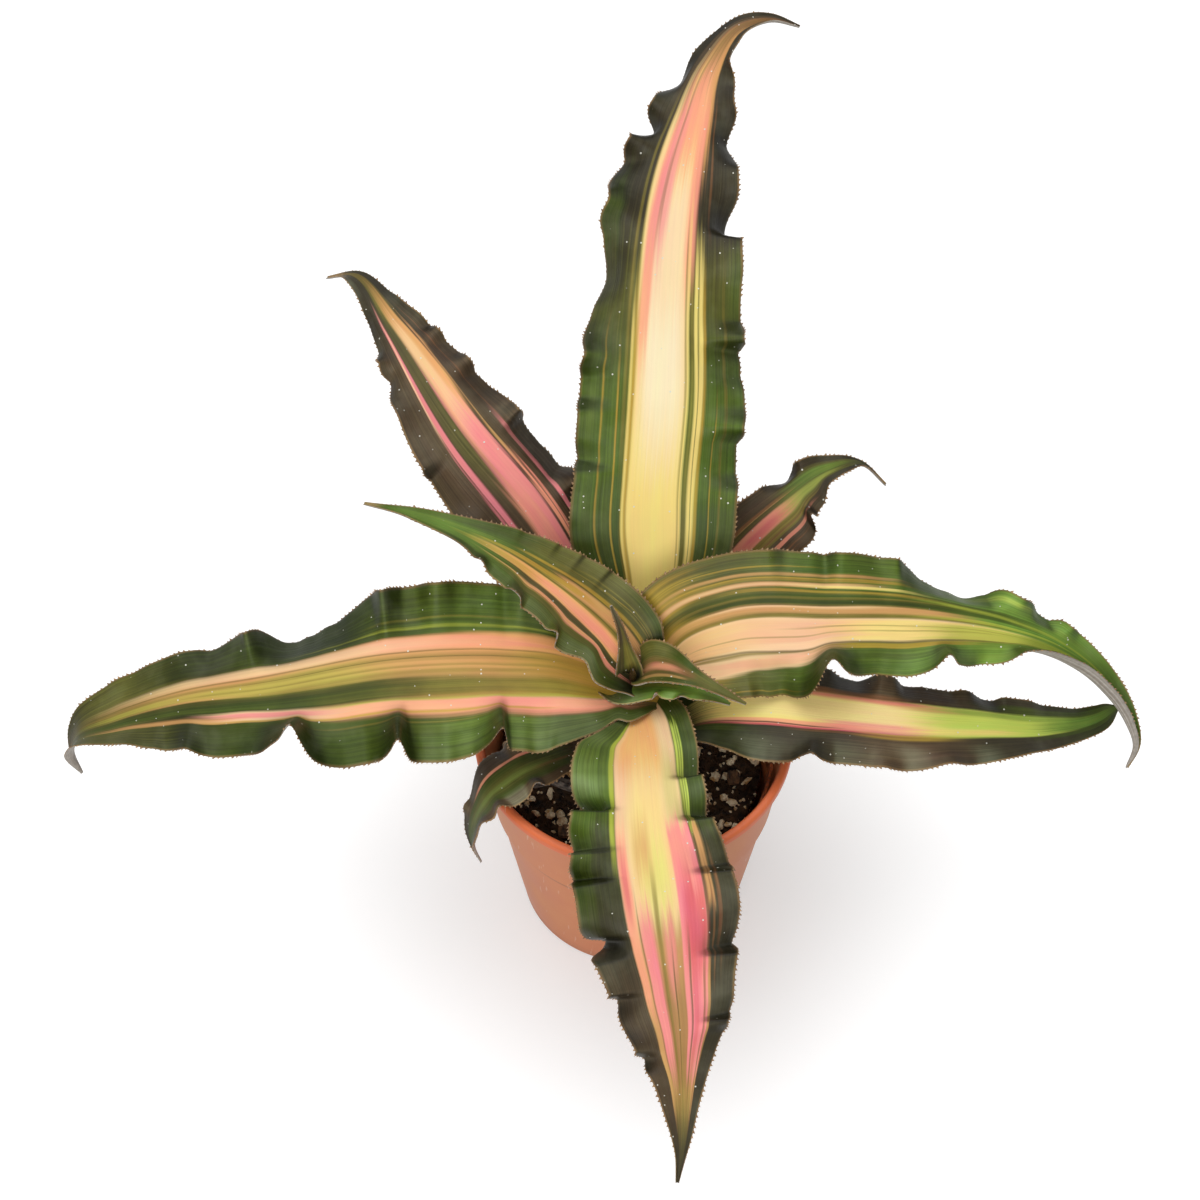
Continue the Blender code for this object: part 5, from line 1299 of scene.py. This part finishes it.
def makeBark():
    material = paintDry("composted bark", "#2A1A0F", "#7A5A3C", (900.0, 300.0, 900.0))
    for index, letter in enumerate("abc"):
        middle, half = nodeBox("bark_chip_" + letter)
        shape = bmesh.new()
        bmesh.ops.create_cube(shape, size=2.0)
        bmesh.ops.subdivide_edges(shape, edges=shape.edges[:], cuts=chip["cuts"], use_grid_fill=True)
        for vertex in shape.verts:
            x, y, z = vertex.co
            rough = noise.fractal(Vector((x * 1.3, y * 4.0, z * 2.0 + index * 3)), 0.8, 2.0, 4)
            wide, deep = [least + more * rough for least, more in (chip["width"], chip["depth"])]
            pinch = 1 - chip["endTaper"] * abs(x) ** 3
            worn = (x * (1 - chip["sideTaper"] * y * y), y * pinch * wide, z * deep)
            vertex.co = [middle[axis] + worn[axis] * half[axis] for axis in range(3)]
        keepShape("bark_chip_" + letter + "_chip", shape, material, "bark", "bark_chip_" + letter, False)


# Dried leaf sheaths between the plug and the wall
strip = {
    # of each: first and last angle, radius at its foot, lean outwards, foot, top, dark and pale tone
    "places": {
        "dried_strip_front": (-62, -34, 37.6, 1.2, 53.5, 60.5, "#3A1C0C", "#96522A"),
        "dried_strip_side": (-30, -4, 37.7, 1.4, 53.5, 63.0, "#5A2410", "#C2683A"),
    },
    "steps": 60,
    "rises": 16,
    "thickness": 0.7,
    "arch": 1.2,               # how much higher the middle of its crest is than the ends
    "torn": 0.7,
    "ripple": 0.28,
}


def makeStrips():
    steps, rises = strip["steps"], strip["rises"]
    for name, (first, last, radius, lean, foot, top, dark, pale) in strip["places"].items():
        material = paintDry("dried sheath " + name, dark, pale, (900.0, 900.0, 120.0))
        sides = [], []
        for i in range(steps + 1):
            share = i / steps
            angle = math.radians(first + (last - first) * share)
            torn = strip["torn"] * noise.noise(Vector((share * 9, 1.0, 0.0)))
            crest = top - 2.5 + strip["arch"] * math.sin(math.pi * share) + torn
            for j in range(rises + 1):
                up = j / rises
                ripple = strip["ripple"] * noise.noise(Vector((share * 22, up * 2.0, 3.0)))
                reach = radius + lean * up + ripple * up
                z = (foot + (crest - foot) * up) * mm
                for side, out in zip(sides, (reach + strip["thickness"], reach)):
                    side.append((out * math.cos(angle) * mm, out * math.sin(angle) * mm, z))
        tall = rises + 1
        count = len(sides[0])
        faces = []
        for i in range(steps):
            for j in range(rises):
                a = i * tall + j
                faces.append((a, a + tall, a + tall + 1, a + 1))
                faces.append((count + a, count + a + 1, count + a + tall + 1, count + a + tall))
            for a in (i * tall, i * tall + rises):
                faces.append((a, a + tall, count + a + tall, count + a))
        for first in (0, steps * tall):
            for a in range(first, first + rises):
                faces.append((a, a + 1, count + a + 1, count + a))
        mesh = makeMesh(name + "_sheath", sides[0] + sides[1], faces)
        turnOutwards(mesh)
        smoothByAngle(mesh, 50)
        finishPiece(addPiece(name + "_sheath", mesh, [material]), "dried_strip", name)


# The unopened bud at the centre
bud = {
    "shift": (-1.4, 2.4, 3.0),
    "folds": 3,
    "foldDepth": 0.08,         # shares of its radius
    "taper": 0.25,
    "twist": 1.5,              # radians from its middle to its tip
}


def makeStemAndBud():
    woody = paintDry("woody stem", "#2B2413", "#6B5A38", (700.0, 700.0, 150.0))
    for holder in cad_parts["stem"].material_slots:
        holder.material = woody
    middle, half = nodeBox("centre_bud")
    middle += Vector([value * mm for value in bud["shift"]])
    shape = bmesh.new()
    bmesh.ops.create_uvsphere(shape, u_segments=40, v_segments=24, radius=1.0)
    for vertex in shape.verts:
        turn = math.atan2(vertex.co.y, vertex.co.x) + vertex.co.z * bud["twist"]
        fold = 1 + bud["foldDepth"] * math.cos(bud["folds"] * turn)
        narrow = fold * (1 - bud["taper"] * max(0.0, vertex.co.z))
        shares = (vertex.co.x * narrow, vertex.co.y * narrow, vertex.co.z)
        vertex.co = [middle[axis] + shares[axis] * half[axis] for axis in range(3)]
    # new growth: tender, dark and wet looking
    tender = paintMottled("tender bud", ("#1A1208", "#5A4426"), 600.0, 3.0, (0, 1), (0.15, 0.35),
                          (0.3, 0.0001), {"IOR": 1.45, "Coat Weight": 0.5, "Coat Roughness": 0.1})
    keepShape("centre_bud_scale", shape, tender, "leaf", "centre_bud")
    print("stem and bud ready")


makeStudio()
makePot()
perliteMaterial = makeSoil()
makePerlite(perliteMaterial)
makeBark()
makeStrips()
makeStemAndBud()
makeLeaves()
